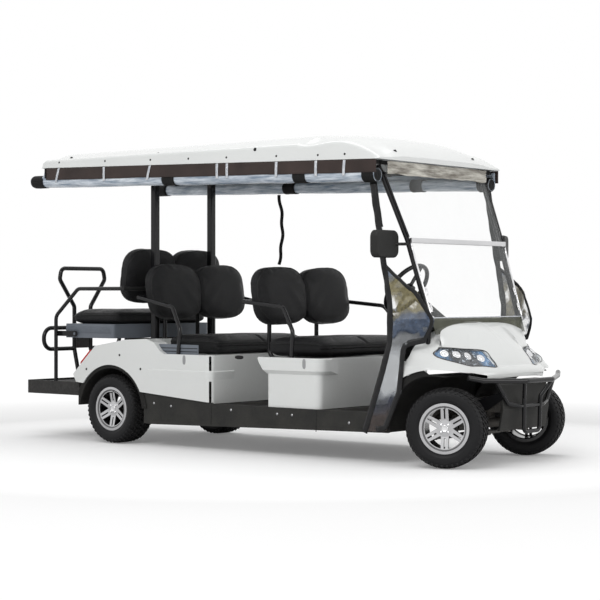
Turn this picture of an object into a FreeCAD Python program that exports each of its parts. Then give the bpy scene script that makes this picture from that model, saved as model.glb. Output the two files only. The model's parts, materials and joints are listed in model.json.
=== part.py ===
"""Six-seat golf cart: a parametric FreeCAD document, one object for each sub-part.

Millimetres. +X points forward, +Y to the driver's left, +Z up. The origin is on the ground
under the middle of the cart's overall box. The sheet "Sizes" holds the driving dimensions,
the sheet "Places" the positions that follow from them.
"""
import FreeCAD, Part
import math
import os
import re
import Sketcher
from FreeCAD import Placement, Rotation, Vector

DOC = FreeCAD.newDocument("golf_cart")

# ---------------------------------------------------------------------------- sizes
# Setbacks are measured backwards from the front axle line, heights from the ground,
# reaches sideways from the middle of the cart.
SIZES = [
    # name, value in mm (or degrees)
    ("wheelbase", 2650),
    ("drawn_wheelbase", 2650),
    ("stretch_from", 1650),
    ("front_wheel_setback", 48),
    ("front_overhang", 320),
    ("rear_overhang", 915),
    ("track_width", 995),
    ("tyre_diameter", 460),
    ("tyre_width", 205),
    ("tyre_wall", 12),
    ("rim_diameter", 254),
    ("rim_width", 178),
    ("rim_wall", 6),
    ("flange_rise", 18),
    ("spoke_width", 17),
    ("spoke_slot", 9),
    ("spoke_depth", 18),
    ("hub_radius", 34),
    ("spindle_radius", 15),
    ("running_fit", 0.05),
    ("seat_gap", 0.3),
    ("kingpin_offset", 100),
    ("kingpin_radius", 9),
    ("knuckle_height", 96),
    ("knuckle_radius", 20),
    ("steering_arm_length", 95),
    ("rest_steer_angle", 23),
    ("axle_tube_radius", 30),
    ("body_width", 1200),
    ("body_wall", 8),
    ("rail_spacing", 450),
    ("rail_width", 50),
    ("rail_height", 70),
    ("spring_room", 82.7),
    ("floor_top", 300),
    ("floor_thickness", 12),
    ("skirt_inset", 14),
    ("skirt_thickness", 14),
    ("front_floor_setback", 362),
    ("pod_top", 606),
    ("front_pod_front", 880),
    ("front_pod_depth", 400),
    ("rear_pod_front", 1742),
    ("lip_height", 90),
    ("lip_reach", 24),
    ("cushion_width", 930),
    ("cushion_depth", 490),
    ("cushion_thickness", 118),
    ("front_cushion_front", 935),
    ("second_cushion_front", 1795),
    ("rear_cushion_rear", 3205),
    ("rear_cushion_height", 790),
    ("rear_cushion_thickness", 95),
    ("deck_thickness", 96),
    ("deck_width", 950),
    ("flip_pivot_setback", 3100),
    ("flip_pivot_height", 722),
    ("backrest_width", 960),
    ("backrest_height", 405),
    ("backrest_thickness", 108),
    ("front_backrest_setback", 1482),
    ("front_backrest_bottom", 780),
    ("second_backrest_setback", 2410),
    ("second_backrest_bottom", 806),
    ("rear_backrest_setback", 2672),
    ("rear_backrest_bottom", 915),
    ("seat_tube_radius", 14),
    ("handrail_radius", 13),
    ("grab_bar_radius", 15),
    ("step_top", 395),
    ("step_thickness", 90),
    ("step_front", 2985),
    ("step_rear", 3530),
    ("step_width", 1120),
    ("roof_crown", 1977),
    ("roof_brim", 1911),
    ("roof_rim_rear", 1858),
    ("roof_rim_front", 1779),
    ("roof_width", 1300),
    ("roof_front", 385),
    ("roof_rear", 3300),
    ("roof_wall", 6),
    ("roof_frame_tube", 26),
    ("rear_post_width", 46),
    ("rear_post_spacing", 560),
    ("rear_post_setback", 2540),
    ("strut_radius", 15),
    ("strut_foot_setback", 145),
    ("strut_foot_height", 856),
    ("strut_middle_setback", 286),
    ("strut_middle_height", 1309),
    ("strut_head_setback", 462),
    ("strut_head_height", 1749),
    ("pane_thickness", 5),
    ("pane_bottom", 762),
    ("pane_middle", 1305),
    ("pane_top", 1735),
    ("middle_rail_height", 30),
    ("roll_radius", 46),
    ("roll_reach", 603),
    ("recess_rear", 2400),
    ("recess_width", 970),
    ("spring_width", 44),
    ("roll_front", 420),
    ("roll_rear", 3385),
    ("flap_rear", 3225),
    ("roll_height_front", 1690),
    ("roll_height_rear", 1768),
    ("curtain_thickness", 3),
    ("guard_tube_radius", 15),
    ("guard_reach", 490),
    ("guard_height", 505),
    ("guard_drop", 310),
    ("mirror_reach", 628),
    ("mirror_height", 1284),
    ("column_reach", 270),
    ("steering_wheel_radius", 175),
    ("steering_wheel_setback", 845),
    ("steering_wheel_height", 1030),
    ("column_tilt", 35),
]

# Positions along X (all from the middle of the cart) and other values that follow.
PLACES = [
    ("front_axle", "(rear_overhang + wheelbase - front_overhang) / 2"),
    ("rear_axle", "(rear_overhang - wheelbase - front_overhang) / 2"),
    ("nose_tip", "(rear_overhang + wheelbase + front_overhang) / 2"),
    ("tail_tip", "-(rear_overhang + wheelbase + front_overhang) / 2"),
    ("wheel_radius", "tyre_diameter / 2"),
    ("wheel_reach", "track_width / 2"),
    ("kingpin_reach", "track_width / 2 - kingpin_offset"),
    ("body_reach", "body_width / 2"),
    ("rail_bottom", "floor_top - floor_thickness - seat_gap - rail_height"),
    ("floor_width", "body_width - 2 * skirt_inset - 2 * skirt_thickness - 2 * seat_gap"),
    ("stretch", "wheelbase - drawn_wheelbase"),
    ("wheel_line", "(rear_overhang + wheelbase - front_overhang) / 2 - front_wheel_setback"),
    ("rail_kick", "tyre_diameter / 2 + spring_room"),
    ("strut_foot_reach", "body_width / 2 - 122"),
    ("strut_middle_reach", "body_width / 2 - 106"),
    ("strut_head_reach", "roof_width / 2 - 109"),
    ("dash_width", "body_width - 244"),
    ("front_pod_rear", "front_pod_front + front_pod_depth"),
]

SHEET = DOC.addObject("Spreadsheet::Sheet", "Sizes")
DERIVED = DOC.addObject("Spreadsheet::Sheet", "Places")
SHEET_OF = {name: "Sizes" for name, _ in SIZES}
SHEET_OF.update({name: "Places" for name, _ in PLACES})


def bound(text):
    """Return an expression with each named size written as its sheet's cell."""
    return re.sub(
        r"[a-z][a-z_]+",
        lambda word: f"{SHEET_OF[word.group()]}.{word.group()}" if word.group() in SHEET_OF else word.group(),
        str(text),
    )


def fill_sheets():
    """Write both sheets: plain numbers in Sizes, formulas over them in Places."""
    for row, (name, value) in enumerate(SIZES, start=1):
        SHEET.set(f"A{row}", name)
        SHEET.set(f"B{row}", str(value))
        SHEET.setAlias(f"B{row}", name)
    DOC.recompute()
    for row, (name, formula) in enumerate(PLACES, start=1):
        DERIVED.set(f"A{row}", name)
        DERIVED.set(f"B{row}", "=" + bound(formula).replace("Places.", ""))
        DERIVED.setAlias(f"B{row}", name)
    DOC.recompute()


def mm(name):
    """Return the value of one named size."""
    sheet = SHEET if SHEET_OF[name] == "Sizes" else DERIVED
    return float(sheet.get(name))


fill_sheets()
NODES = []


def behind(setback):
    """Return the X position of a setback; those of the rear half move with the wheelbase."""
    return mm("front_axle") - setback - (mm("stretch") if setback > mm("stretch_from") else 0)


# ---------------------------------------------------------------------------- helpers
def node(item, name):
    """Label an object as a sub-part and list it for export."""
    item.Label = name
    NODES.append(item)
    return item


def box(name, size, corner):
    """A Part::Box whose three sizes and corner are expressions."""
    item = DOC.addObject("Part::Box", name)
    for prop, text in zip(("Length", "Width", "Height"), size):
        item.setExpression(prop, bound(text))
    for axis, text in zip("xyz", corner):
        item.setExpression(f"Placement.Base.{axis}", bound(text))
    return item


def cylinder(name, radius, height, start, axis="z"):
    """A Part::Cylinder along one axis, with its size and start as expressions."""
    item = DOC.addObject("Part::Cylinder", name)
    item.setExpression("Radius", bound(radius))
    item.setExpression("Height", bound(height))
    turn = {"x": Rotation(Vector(0, 1, 0), 90), "y": Rotation(Vector(1, 0, 0), -90), "z": Rotation()}[axis]
    item.Placement = Placement(Vector(0, 0, 0), turn)
    for letter, text in zip("xyz", start):
        item.setExpression(f"Placement.Base.{letter}", bound(text))
    return item


def cut(name, base, tool):
    """One object minus another."""
    item = DOC.addObject("Part::Cut", name)
    item.Base = base
    item.Tool = tool
    return item


def join(name, items):
    """Several objects as one."""
    item = DOC.addObject("Part::MultiFuse", name)
    item.Shapes = items
    item.Refine = True
    return item


def feature(name, shape):
    """A Part::Feature that holds a shape worked out from the sheet."""
    item = DOC.addObject("Part::Feature", name)
    item.Shape = shape
    item.Placement = Placement()
    return item


def sketch_outline(body, name, plane, vertices):
    """Draw a closed polygon on one of a body's origin planes, each vertex held by expressions."""
    sketch = body.newObject("Sketcher::SketchObject", name)
    support = [item for item in body.Origin.OriginFeatures if item.Role == plane][0]
    sketch.AttachmentSupport = [(support, "")]
    sketch.MapMode = "FlatFace"
    places = [(probe(across), probe(up)) for across, up in vertices]
    count = len(places)
    for index in range(count):
        start = Vector(*places[index], 0)
        end = Vector(*places[(index + 1) % count], 0)
        sketch.addGeometry(Part.LineSegment(start, end), False)
    for index in range(count):
        sketch.addConstraint(Sketcher.Constraint("Coincident", index, 2, (index + 1) % count, 1))
    for index, (place, texts) in enumerate(zip(places, vertices)):
        for letter, kind, value, text in zip("uv", ("DistanceX", "DistanceY"), place, texts):
            number = sketch.addConstraint(Sketcher.Constraint(kind, -1, 1, index, 1, value))
            sketch.renameConstraint(number, f"{letter}{index}")
            sketch.setExpression(f"Constraints.{letter}{index}", bound(text))
    return sketch


PROBE = DOC.addObject("App::FeaturePython", "Probe")
PROBE.addProperty("App::PropertyFloat", "Value")


def probe(text):
    """Return the number that an expression over the sheets gives."""
    PROBE.setExpression("Value", bound(text))
    PROBE.recompute()
    return PROBE.Value


def padded_profile(name, plane, vertices, length, both_ways=True):
    """A PartDesign::Body: a polygon padded by a length, evenly to both sides if both_ways."""
    body = DOC.addObject("PartDesign::Body", name)
    sketch = sketch_outline(body, name + "_outline", plane, vertices)
    DOC.recompute()
    pad = body.newObject("PartDesign::Pad", name + "_pad")
    pad.Profile = sketch
    pad.SideType = "Symmetric" if both_ways else "One side"
    pad.setExpression("Length", bound(length))
    DOC.recompute()
    return body


def turned_profile(name, vertices):
    """A PartDesign::Body: a polygon of (along Y, radius) vertices turned about the Y axis."""
    body = DOC.addObject("PartDesign::Body", name)
    sketch = sketch_outline(body, name + "_outline", "YZ_Plane", vertices)
    DOC.recompute()
    turn = body.newObject("PartDesign::Revolution", name + "_turn")
    turn.Profile = sketch
    turn.ReferenceAxis = (sketch, ["H_Axis"])
    turn.Angle = 360
    DOC.recompute()
    return body


def tube(points, radius, bend):
    """A round tube along straight runs joined by tangent arcs of one bend radius."""
    corners = [Vector(*point) for point in points]
    edges = []
    last = corners[0]
    for before, corner, after in zip(corners, corners[1:], corners[2:]):
        back = (before - corner).normalize()
        ahead = (after - corner).normalize()
        half = back.getAngle(ahead) / 2
        first = corner + back * (bend / math.tan(half))
        second = corner + ahead * (bend / math.tan(half))
        middle_way = (back + ahead).normalize()
        middle = corner + middle_way * (bend / math.sin(half) - bend)
        edges.append(Part.LineSegment(last, first).toShape())
        edges.append(Part.Arc(first, middle, second).toShape())
        last = second
    edges.append(Part.LineSegment(last, corners[-1]).toShape())
    section = Part.Wire([Part.Circle(corners[0], corners[1] - corners[0], radius).toShape()])
    return Part.Wire(edges).makePipeShell([section], True, False)


def rod(start, end, radius):
    """A straight round bar between two points."""
    way = Vector(*end) - Vector(*start)
    return Part.makeCylinder(radius, way.Length, Vector(*start), way)


def mirrored(shape):
    """The same shape on the other side of the cart."""
    return shape.mirror(Vector(0, 0, 0), Vector(0, 1, 0))


def pair(shape):
    """A shape and its mirror image as one compound of separate solids."""
    return Part.makeCompound([shape, mirrored(shape)])


def block(low, high):
    """A box between two corners."""
    low = Vector(*low)
    size = Vector(*high) - low
    return Part.makeBox(size.x, size.y, size.z, low)


def prism_y(points, low, high):
    """A polygon of (x, z) points drawn out along Y from low to high."""
    corners = [Vector(x, low, z) for x, z in points]
    face = Part.Face(Part.makePolygon(corners + corners[:1]))
    return face.extrude(Vector(0, high - low, 0))


def rounded_edges(shape, radius, chosen):
    """Fillet the edges for which chosen(edge) is true."""
    edges = [edge for edge in shape.Edges if chosen(edge)]
    return shape.makeFillet(radius, edges)


def along(edge, letter):
    """Whether an edge is straight and runs along one axis."""
    if edge.Curve.TypeId != "Part::GeomLine":
        return False
    way = edge.Vertexes[-1].Point - edge.Vertexes[0].Point
    others = [abs(getattr(way, other)) for other in "xyz" if other != letter]
    return max(others) < 1e-6


# ---------------------------------------------------------------------------- chassis
SPRINGS = [  # axle, half length, rise of the ends
    ("wheel_line", 176, 22),
    ("rear_axle", 320, 34),
]


def make_chassis_frame():
    """Two stepped side rails with cross members and spring hangers, as one welded frame."""
    low = mm("rail_bottom")
    height = mm("rail_height")
    kick = mm("rail_kick")
    path = [  # setback, bottom of rail
        (-196, kick), (235, kick), (350, low), (2160, low), (2290, kick), (2984.7, kick),
    ]
    lower = [(behind(setback), z) for setback, z in path]
    upper = [(x, z + height) for x, z in reversed(lower)]
    centre = mm("rail_spacing") / 2
    half = mm("rail_width") / 2
    rail = prism_y(lower + upper, centre - half, centre + half)
    frame = [rail, mirrored(rail)]
    inner = centre - half + 1
    for setback in (420, 900, 1290, 1742, 2120):
        frame.append(block(
            (behind(setback) - 25, -mm("floor_width") / 2 + 20, low + 12),
            (behind(setback) + 25, mm("floor_width") / 2 - 20, low + height - 5),
        ))
    for setback in (-150, mm("front_wheel_setback") + mm("steering_arm_length"), 2940):
        frame.append(block(
            (behind(setback) - 20, -inner, kick + 10), (behind(setback) + 20, inner, kick + height - 10),
        ))
    for axle, half_length, rise in SPRINGS:
        top = mm("wheel_radius") + mm("axle_tube_radius") + 0.3 + rise + 14.3
        for way in (1, -1):
            x = mm(axle) + way * (half_length - 14)
            hanger = block((x - 14, centre - 20, top), (x + 14, centre + 20, kick + 1))
            frame += [hanger, mirrored(hanger)]
    fused = frame[0].fuse(frame[1:]).removeSplitter()
    return node(feature("ChassisFrame", fused), "chassis_frame")


def make_floor_pan():
    """The floor from the toe board to the second foot-well, with its raised toe board."""
    outline = [
        ("front_axle - front_floor_setback", "floor_top - floor_thickness"),
        ("front_axle - front_floor_setback + 95", "floor_top + 215"),
        ("front_axle - front_floor_setback + 83", "floor_top + 219"),
        ("front_axle - front_floor_setback - 8", "floor_top"),
        ("front_axle - rear_pod_front - stretch + seat_gap", "floor_top"),
        ("front_axle - rear_pod_front - stretch + seat_gap", "floor_top - floor_thickness"),
    ]
    return node(padded_profile("FloorPan", "XZ_Plane", outline, "floor_width"), "floor_pan")


def make_front_pod():
    """The white box under the front bench: open above and below, with a flared lip round it."""
    reach = mm("body_reach") - mm("lip_reach")
    wall = mm("body_wall")
    top = mm("pod_top")
    rear = behind(mm("front_pod_rear"))
    front = behind(mm("front_pod_front"))
    base = mm("floor_top") + mm("seat_gap")

    def at_front(edge):
        return along(edge, "z") and edge.CenterOfMass.x > front - 60

    outer = rounded_edges(block((rear, -reach, base), (front, reach, top)), 44, at_front)
    inner = block((rear + wall, wall - reach, base - 10), (front - wall, reach - wall, top + 10))
    walls = outer.cut(rounded_edges(inner, 44 - wall, at_front))
    lip = wrapped_band(
        reach, front, 44, mm("front_pod_rear") + 70, 380,
        [(-1, top - mm("lip_height") - 12), (mm("lip_reach"), top - mm("lip_height") + 12),
         (mm("lip_reach"), top - 9), (mm("lip_reach") - 8, top), (-1, top)])
    fade = Part.Face(Part.makePolygon([
        Vector(front + 0.1, 390, 0), Vector(front + 30, 520, 0), Vector(front + 60, 520, 0),
        Vector(front + 60, 300, 0), Vector(front + 0.1, 300, 0), Vector(front + 0.1, 390, 0),
    ])).extrude(Vector(0, 0, 900))
    tail = prism_y([(rear - 72, top), (rear - 60, top - 30), (rear - 8, top - 102), (rear - 8, 300),
        (rear - 90, 300),
                    (rear - 90, top)], 500, 640)
    lip = lip.cut([fade, tail])
    shell = walls.fuse([lip, mirrored(lip)]).removeSplitter()
    return node(feature("FrontPod", shell), "front_seat_pod")


def wrapped_band(reach, front, corner, start_setback, end_reach, profile):
    """A moulding along the left side, round the front corner and part way across the front.

    The profile's points are (distance out from the wall, height).
    """
    turn = corner * (1 - math.sqrt(0.5))
    start = Vector(behind(start_setback), reach, 0)
    path = Part.Wire([
        Part.LineSegment(start, Vector(front - corner, reach, 0)).toShape(),
        Part.Arc(Vector(front - corner, reach, 0), Vector(front - turn, reach - turn, 0),
                 Vector(front, reach - corner, 0)).toShape(),
        Part.LineSegment(Vector(front, reach - corner, 0), Vector(front, end_reach, 0)).toShape(),
    ])
    points = [Vector(start.x, reach + out, z) for out, z in profile]
    return path.makePipeShell([Part.makePolygon(points + points[:1])], True, False)


def rear_body_outline(inset):
    """The side outline of the rear body, moved inwards by a wall."""
    top = mm("pod_top")
    low = mm("rail_bottom") + mm("rail_height") + mm("seat_gap") if not inset else 150
    points = [  # setback, height
        (mm("rear_pod_front") + inset, low),
        (mm("rear_pod_front") + inset, top - inset),
        (2150, top - inset),
        (2190, top + 22 - inset),
        (2240, top + 74 - inset),
        (2310, 701 - inset),
        (2505, 692 - inset),
        (2790 - inset * 0.4, 647 - inset),
        (3005 - inset * 1.6, 452 - inset * 0.2),
        (2975 - inset * 1.6, 400 if not inset else 150),
    ]
    return [(behind(setback), z) for setback, z in points]


def make_rear_body():
    """The white shell under the second bench and round the rear wheels, open below."""
    reach = mm("body_reach")
    wall = mm("body_wall")
    half = mm("recess_width") / 2
    top = mm("pod_top")
    skins = []
    for inset in (0, wall):
        skin = prism_y(rear_body_outline(inset), -reach + inset, reach - inset)
        recess = block(
            (behind(mm("recess_rear")) - inset, -half - inset, top - inset),
                (behind(1600), half + inset, top + 200))
        skins.append(skin.cut(recess))
    outer = rounded_edges(
        skins[0], 45,
        lambda e: along(e, "z") and abs(e.CenterOfMass.x - behind(mm("rear_pod_front"))) < 1
            and e.Length > 150)
    shell = outer.cut(skins[1])
    below = prism_y(
        [(behind(1600), 100), (behind(1600), 306), (behind(mm("rear_pod_front")), 306),
            (behind(2975), 399), (behind(2975), 100)],
        reach - wall - 20, reach + 10)
    arch = Part.makeCylinder(318, 2 * reach + 20, Vector(mm("rear_axle"), -reach - 10, 205), Vector(0, 1, 0))
    well = block((mm("rear_axle") - 318, -reach - 1, 100), (mm("rear_axle") + 318, reach + 1, 205))
    crease = wrapped_band(
        reach, behind(mm("rear_pod_front")), 45, 2290, 380,
        [(-1, 440), (5, 496), (5, 500), (-1, 507)])
    shell = shell.cut([below, mirrored(below), arch, well])
    shell = shell.fuse([crease, mirrored(crease)]).removeSplitter()
    largest = max(shell.Solids, key=lambda solid: solid.Volume)
    return node(feature("RearBody", largest), "rear_body")


def cowl_section(z, nose, corner, reach, rear, round_radius):
    """A closed level outline of the cowl: straight sides, rounded corners and a bowed front."""
    front_left = Vector(behind(-corner), reach - round_radius, z)
    side_left = Vector(behind(-corner) - round_radius, reach, z)
    blend = Vector(
        behind(-corner) - round_radius * (1 - math.sqrt(0.5)),
        reach - round_radius * (1 - math.sqrt(0.5)), z)
    rear_left = Vector(behind(rear), reach, z)

    def other(point):
        return Vector(point.x, -point.y, point.z)

    return Part.Wire([
        Part.LineSegment(rear_left, side_left).toShape(),
        Part.Arc(side_left, blend, front_left).toShape(),
        Part.Arc(front_left, Vector(behind(-nose), 0, z), other(front_left)).toShape(),
        Part.Arc(other(front_left), other(blend), other(side_left)).toShape(),
        Part.LineSegment(other(side_left), other(rear_left)).toShape(),
        Part.LineSegment(other(rear_left), rear_left).toShape(),
    ])


COWL_LEVELS = [
    # height, nose ahead of axle, corner ahead of axle, half width, corner radius
    (494, 172, 100, 600, 170),
    (535, 198, 100, 600, 200),
    (578, 158, 80, 594, 230),
    (680, 84, 5, 560, 280),
    (762, -5, -80, 505, 320),
    (806, -72, -140, 420, 290),
    (830, -150, -185, 250, 180),
]
LAMP_OUTLINE = [  # reach, height: the lamp's opening seen from the front
    (214, 664), (470, 686), (526, 648), (508, 621), (400, 584), (192, 571),
]


def cowl_skin(inset):
    """The cowl's outer form as a solid, or the same moved inwards by its wall."""
    rear = 440
    sections = []
    for z, nose, corner, reach, radius in COWL_LEVELS:
        level = z - inset if z != COWL_LEVELS[0][0] else z - inset * 3
        sections.append(cowl_section(
            level, nose - inset, corner - inset, reach - inset, rear + inset * 4, radius - inset))
    lower = Part.makeLoft(sections[:3], True, False)
    upper = Part.makeLoft(sections[2:], True, False)
    return lower.fuse(upper).removeSplitter()


def lamp_opening(grow):
    """The left lamp's opening drawn out along X, grown or shrunk about its middle."""
    middle_y = sum(y for y, _ in LAMP_OUTLINE) / len(LAMP_OUTLINE)
    middle_z = sum(z for _, z in LAMP_OUTLINE) / len(LAMP_OUTLINE)
    corners = []
    for y, z in LAMP_OUTLINE:
        away = Vector(0, y - middle_y, z - middle_z)
        corners.append(Vector(behind(130), y, z) + away.normalize() * grow)
    tool = Part.Face(Part.makePolygon(corners + corners[:1])).extrude(Vector(400, 0, 0))
    return rounded_edges(tool, 14, lambda e: along(e, "x") and abs(e.CenterOfMass.y) > 205 + grow)


def make_front_cowl():
    """The domed white cowl over the front wheels, with its lamp openings, and the two lenses."""
    shell = cowl_skin(0).cut(cowl_skin(mm("body_wall")))
    back = [
        (behind(120), 900), (behind(165), 830), (behind(215), 640), (behind(300), 500),
        (behind(300), 400), (behind(490), 400), (behind(490), 900),
    ]
    shell = shell.cut(prism_y(back, -700, 700))
    arch = Part.makeCylinder(479, 1400, Vector(behind(35), -700, 82), Vector(0, 1, 0))
    keep = block((behind(600), -300, 0), (behind(-600), 300, 700))
    shell = shell.cut(arch.cut(keep)).removeSplitter()
    left_lens = shell.common(lamp_opening(-mm("seat_gap")))
    opening = lamp_opening(0)
    cowl = shell.cut([opening, mirrored(opening)]).removeSplitter()
    largest = max(cowl.Solids, key=lambda solid: solid.Volume)
    node(feature("FrontCowl", largest), "front_cowl")
    lens = max(left_lens.Solids, key=lambda solid: solid.Volume)
    return node(feature("Headlights", pair(lens)), "headlights")


def make_fascia():
    """The black panel below the cowl, with level grooves across it."""
    outline = [
        ("front_axle + 120", "493.7"), ("front_axle + 180", "493.7"), ("front_axle + 198", "470"),
        ("front_axle + 215", "330"), ("front_axle + 190", "205"), ("front_axle + 178", "205"),
        ("front_axle + 203", "330"), ("front_axle + 186", "466"), ("front_axle + 174", "484"),
        ("front_axle + 120", "484"),
    ]
    panel = padded_profile("Fascia", "XZ_Plane", outline, "rail_spacing + rail_width")
    return node(panel, "lower_fascia")


def make_skirts():
    """The black sills between the wheels, one each side."""
    reach = mm("body_reach") - mm("skirt_inset")
    points = [
        (355, 187), (355, 300), (1735, 300), (1745, 305.9), (2344, 351), (2344, 150), (2280, 146),
            (1200, 170),
    ]
    sill = prism_y([(behind(setback), z) for setback, z in points], reach - mm("skirt_thickness"), reach)
    return node(feature("SideSkirts", pair(sill)), "side_skirts")


LINERS = [  # axle, inner reach, centre above the wheel's, radius over the wheel's, lowest height
    ("wheel_line", 250.3, 0, 66, 192),
    ("rear_axle", 330, -25, 66, 245),
]


def make_liners():
    """The black arch liners over the four wheels, each with a flange behind the body's edge."""
    outer = mm("body_reach") - mm("body_wall") - mm("seat_gap")
    shapes = []
    for axle, inner_reach, raised, room, low in LINERS:
        height = mm("wheel_radius") + raised
        radius = mm("wheel_radius") + room
        flange = radius + 40
        centre = Vector(mm(axle), inner_reach, height)
        length = outer - inner_reach
        way = Vector(0, 1, 0)
        skin = Part.makeCylinder(radius + 6, length, centre, way)
        rim = Part.makeCylinder(flange, 5, Vector(mm(axle), outer - 5, height), way)
        liner = skin.fuse(rim).cut(Part.makeCylinder(radius, 2 * length, centre - way * 10, way))
        liner = liner.cut(block((mm(axle) - 500, 0, -300), (mm(axle) + 500, 700, low)))
        if axle == "wheel_line":
            liner = liner.cut(block((mm(axle) + 60, 0, 0), (mm(axle) + 500, 700, 700)))
            liner = liner.cut(cowl_skin(0).cut(cowl_skin(mm("body_wall") + mm("seat_gap"))))
        else:
            slope = prism_y([(behind(2780), 700), (behind(2780), 640), (behind(2998), 444),
                (behind(2960), 396),
                             (behind(2960), 200), (behind(3300), 200), (behind(3300), 700)], 0, 700)
            liner = liner.cut(slope)
        liner = max(liner.removeSplitter().Solids, key=lambda solid: solid.Volume)
        shapes += [liner, mirrored(liner)]
    return node(feature("WheelLiners", Part.makeCompound(shapes)), "wheel_liners")


# ---------------------------------------------------------------------------- axles, steering, wheels
def make_front_axle():
    """The front axle tube with a fork and kingpin at each end."""
    pin = mm("kingpin_reach")
    centre = mm("wheel_radius")
    half = mm("knuckle_height") / 2 + 2
    x = mm("wheel_line")
    base = pin - mm("knuckle_radius") - 12
    parts = [Part.makeCylinder(mm("axle_tube_radius"), 2 * base - 20, Vector(x, -base + 10, centre),
        Vector(0, 1, 0))]
    for side in (1, -1):
        parts.append(block(
            (x - 22, min(side * (base - 14), side * base), centre - half - 16),
            (x + 22, max(side * (base - 14), side * base), centre + half + 16)))
        for z in (centre - half - 16, centre + half):
            low = min(side * (base - 14), side * (pin + 16))
            high = max(side * (base - 14), side * (pin + 16))
            parts.append(block((x - 18, low, z), (x + 18, high, z + 16)))
        parts.append(Part.makeCylinder(
            mm("kingpin_radius"), 2 * half + 4, Vector(x, side * pin, centre - half - 2), Vector(0, 0, 1)))
    return node(feature("FrontAxle", parts[0].fuse(parts[1:]).removeSplitter()), "front_axle_beam")


def steered(item, side):
    """Turn a front piece about its kingpin to the parked steering angle."""
    pivot = Vector(mm("wheel_line"), side * mm("kingpin_reach"), 0)
    turn = Placement(Vector(0, 0, 0), Rotation(Vector(0, 0, 1), mm("rest_steer_angle")), pivot)
    return turn.multiply(item)


def arm_eye(side):
    """The place of a steering arm's stud in the parked steering angle, seen from above."""
    spot = Placement(
        Vector(mm("wheel_line") - mm("steering_arm_length"), side * (mm("kingpin_reach") - 13), 0),
            Rotation())
    return steered(spot, side).Base


def make_knuckle(side, name):
    """A steering knuckle: barrel round the kingpin, stub spindle, hub flange and steering arm."""
    pin = mm("kingpin_reach")
    centre = mm("wheel_radius")
    height = mm("knuckle_height")
    x = mm("wheel_line")
    barrel = Part.makeCylinder(mm("knuckle_radius"), height, Vector(x, pin, centre - height / 2),
        Vector(0, 0, 1))
    spindle_end = mm("wheel_reach") + 52
    spindle = Part.makeCylinder(mm("spindle_radius"), spindle_end - pin, Vector(x, pin, centre),
        Vector(0, 1, 0))
    flange = Part.makeCylinder(48, 12, Vector(x, pin + 34, centre), Vector(0, 1, 0))
    neck = Part.makeCylinder(24, 40, Vector(x, pin, centre), Vector(0, 1, 0))
    arm_length = mm("steering_arm_length")
    arm_points = [(x + 4, pin - 14), (x + 4, pin + 14), (x - arm_length - 12, pin - 2),
        (x - arm_length - 12, pin - 24)]
    arm_low = centre - height / 2
    arm = Part.Face(Part.makePolygon([Vector(a, b, arm_low) for a,
        b in arm_points + arm_points[:1]])).extrude(
        Vector(0, 0, 12))
    stud = Part.makeCylinder(5, 14, Vector(x - arm_length, pin - 13, arm_low - 8), Vector(0, 0, 1))
    bore = Part.makeCylinder(
        mm("kingpin_radius") + mm("running_fit"), height + 2, Vector(x, pin, centre - height / 2 - 1),
            Vector(0, 0, 1))
    shape = barrel.fuse([spindle, flange, neck, arm, stud]).cut(bore).removeSplitter()
    if side < 0:
        shape = mirrored(shape)
    item = feature("Knuckle_" + name, shape)
    item.Placement = steered(item.Placement, side)
    return node(item, "knuckle_" + name)


RACK_RADIUS = 11


def make_steering_rack():
    """The rack bar with its tie rods, one sliding piece."""
    x = mm("wheel_line") - mm("steering_arm_length")
    z = mm("wheel_radius") - mm("knuckle_height") / 2 - 24
    eyes = [arm_eye(side) for side in (1, -1)]
    ends = [eyes[0].y - 92, eyes[1].y + 92]
    parts = [rod((x, ends[1], z), (x, ends[0], z), RACK_RADIUS)]
    for eye, end in zip(eyes, ends):
        parts.append(Part.makeSphere(13, Vector(x, end, z)))
        parts.append(rod((x, end, z), (eye.x, eye.y, z), 8))
        parts.append(Part.makeCylinder(13, 18, Vector(eye.x, eye.y, z - 9), Vector(0, 0, 1)))
    shape = parts[0].fuse(parts[1:])
    return node(feature("SteeringRack", shape), "steering_rack")


def make_rack_housing():
    """The fixed tube that the steering rack slides in, with its bracket up to the frame."""
    x = mm("wheel_line") - mm("steering_arm_length")
    z = mm("wheel_radius") - mm("knuckle_height") / 2 - 24
    top = mm("rail_kick") + 10 - mm("seat_gap")
    way = Vector(0, 1, 0)
    shell = Part.makeCylinder(19, 300, Vector(x, -150, z), way)
    bracket = block((x - 9, -34, z), (x + 9, 34, top))
    bore = Part.makeCylinder(RACK_RADIUS + mm("running_fit"), 320, Vector(x, -160, z), way)
    return node(feature("RackHousing", shell.fuse(bracket).cut(bore).removeSplitter()), "rack_housing")


def make_rear_axle():
    """The rear axle tube with its differential housing, brake drums and wheel spindles."""
    centre = mm("wheel_radius")
    x = mm("rear_axle")
    tube_end = mm("wheel_reach") - 100
    parts = [
        Part.makeCylinder(mm("axle_tube_radius"), 2 * tube_end, Vector(x, -tube_end, centre),
            Vector(0, 1, 0)),
        Part.makeSphere(82, Vector(x, 40, centre)),
    ]
    for side in (1, -1):
        way = Vector(0, side, 0)
        parts.append(Part.makeCylinder(88, 40, Vector(x, side * tube_end, centre), way))
        parts.append(Part.makeCylinder(48, 12, Vector(x, side * (tube_end + 34), centre), way))
        parts.append(Part.makeCylinder(
            mm("spindle_radius"), 132, Vector(x, side * (tube_end + 20), centre), way))
    return node(feature("RearAxle", parts[0].fuse(parts[1:]).removeSplitter()), "rear_axle")


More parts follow.
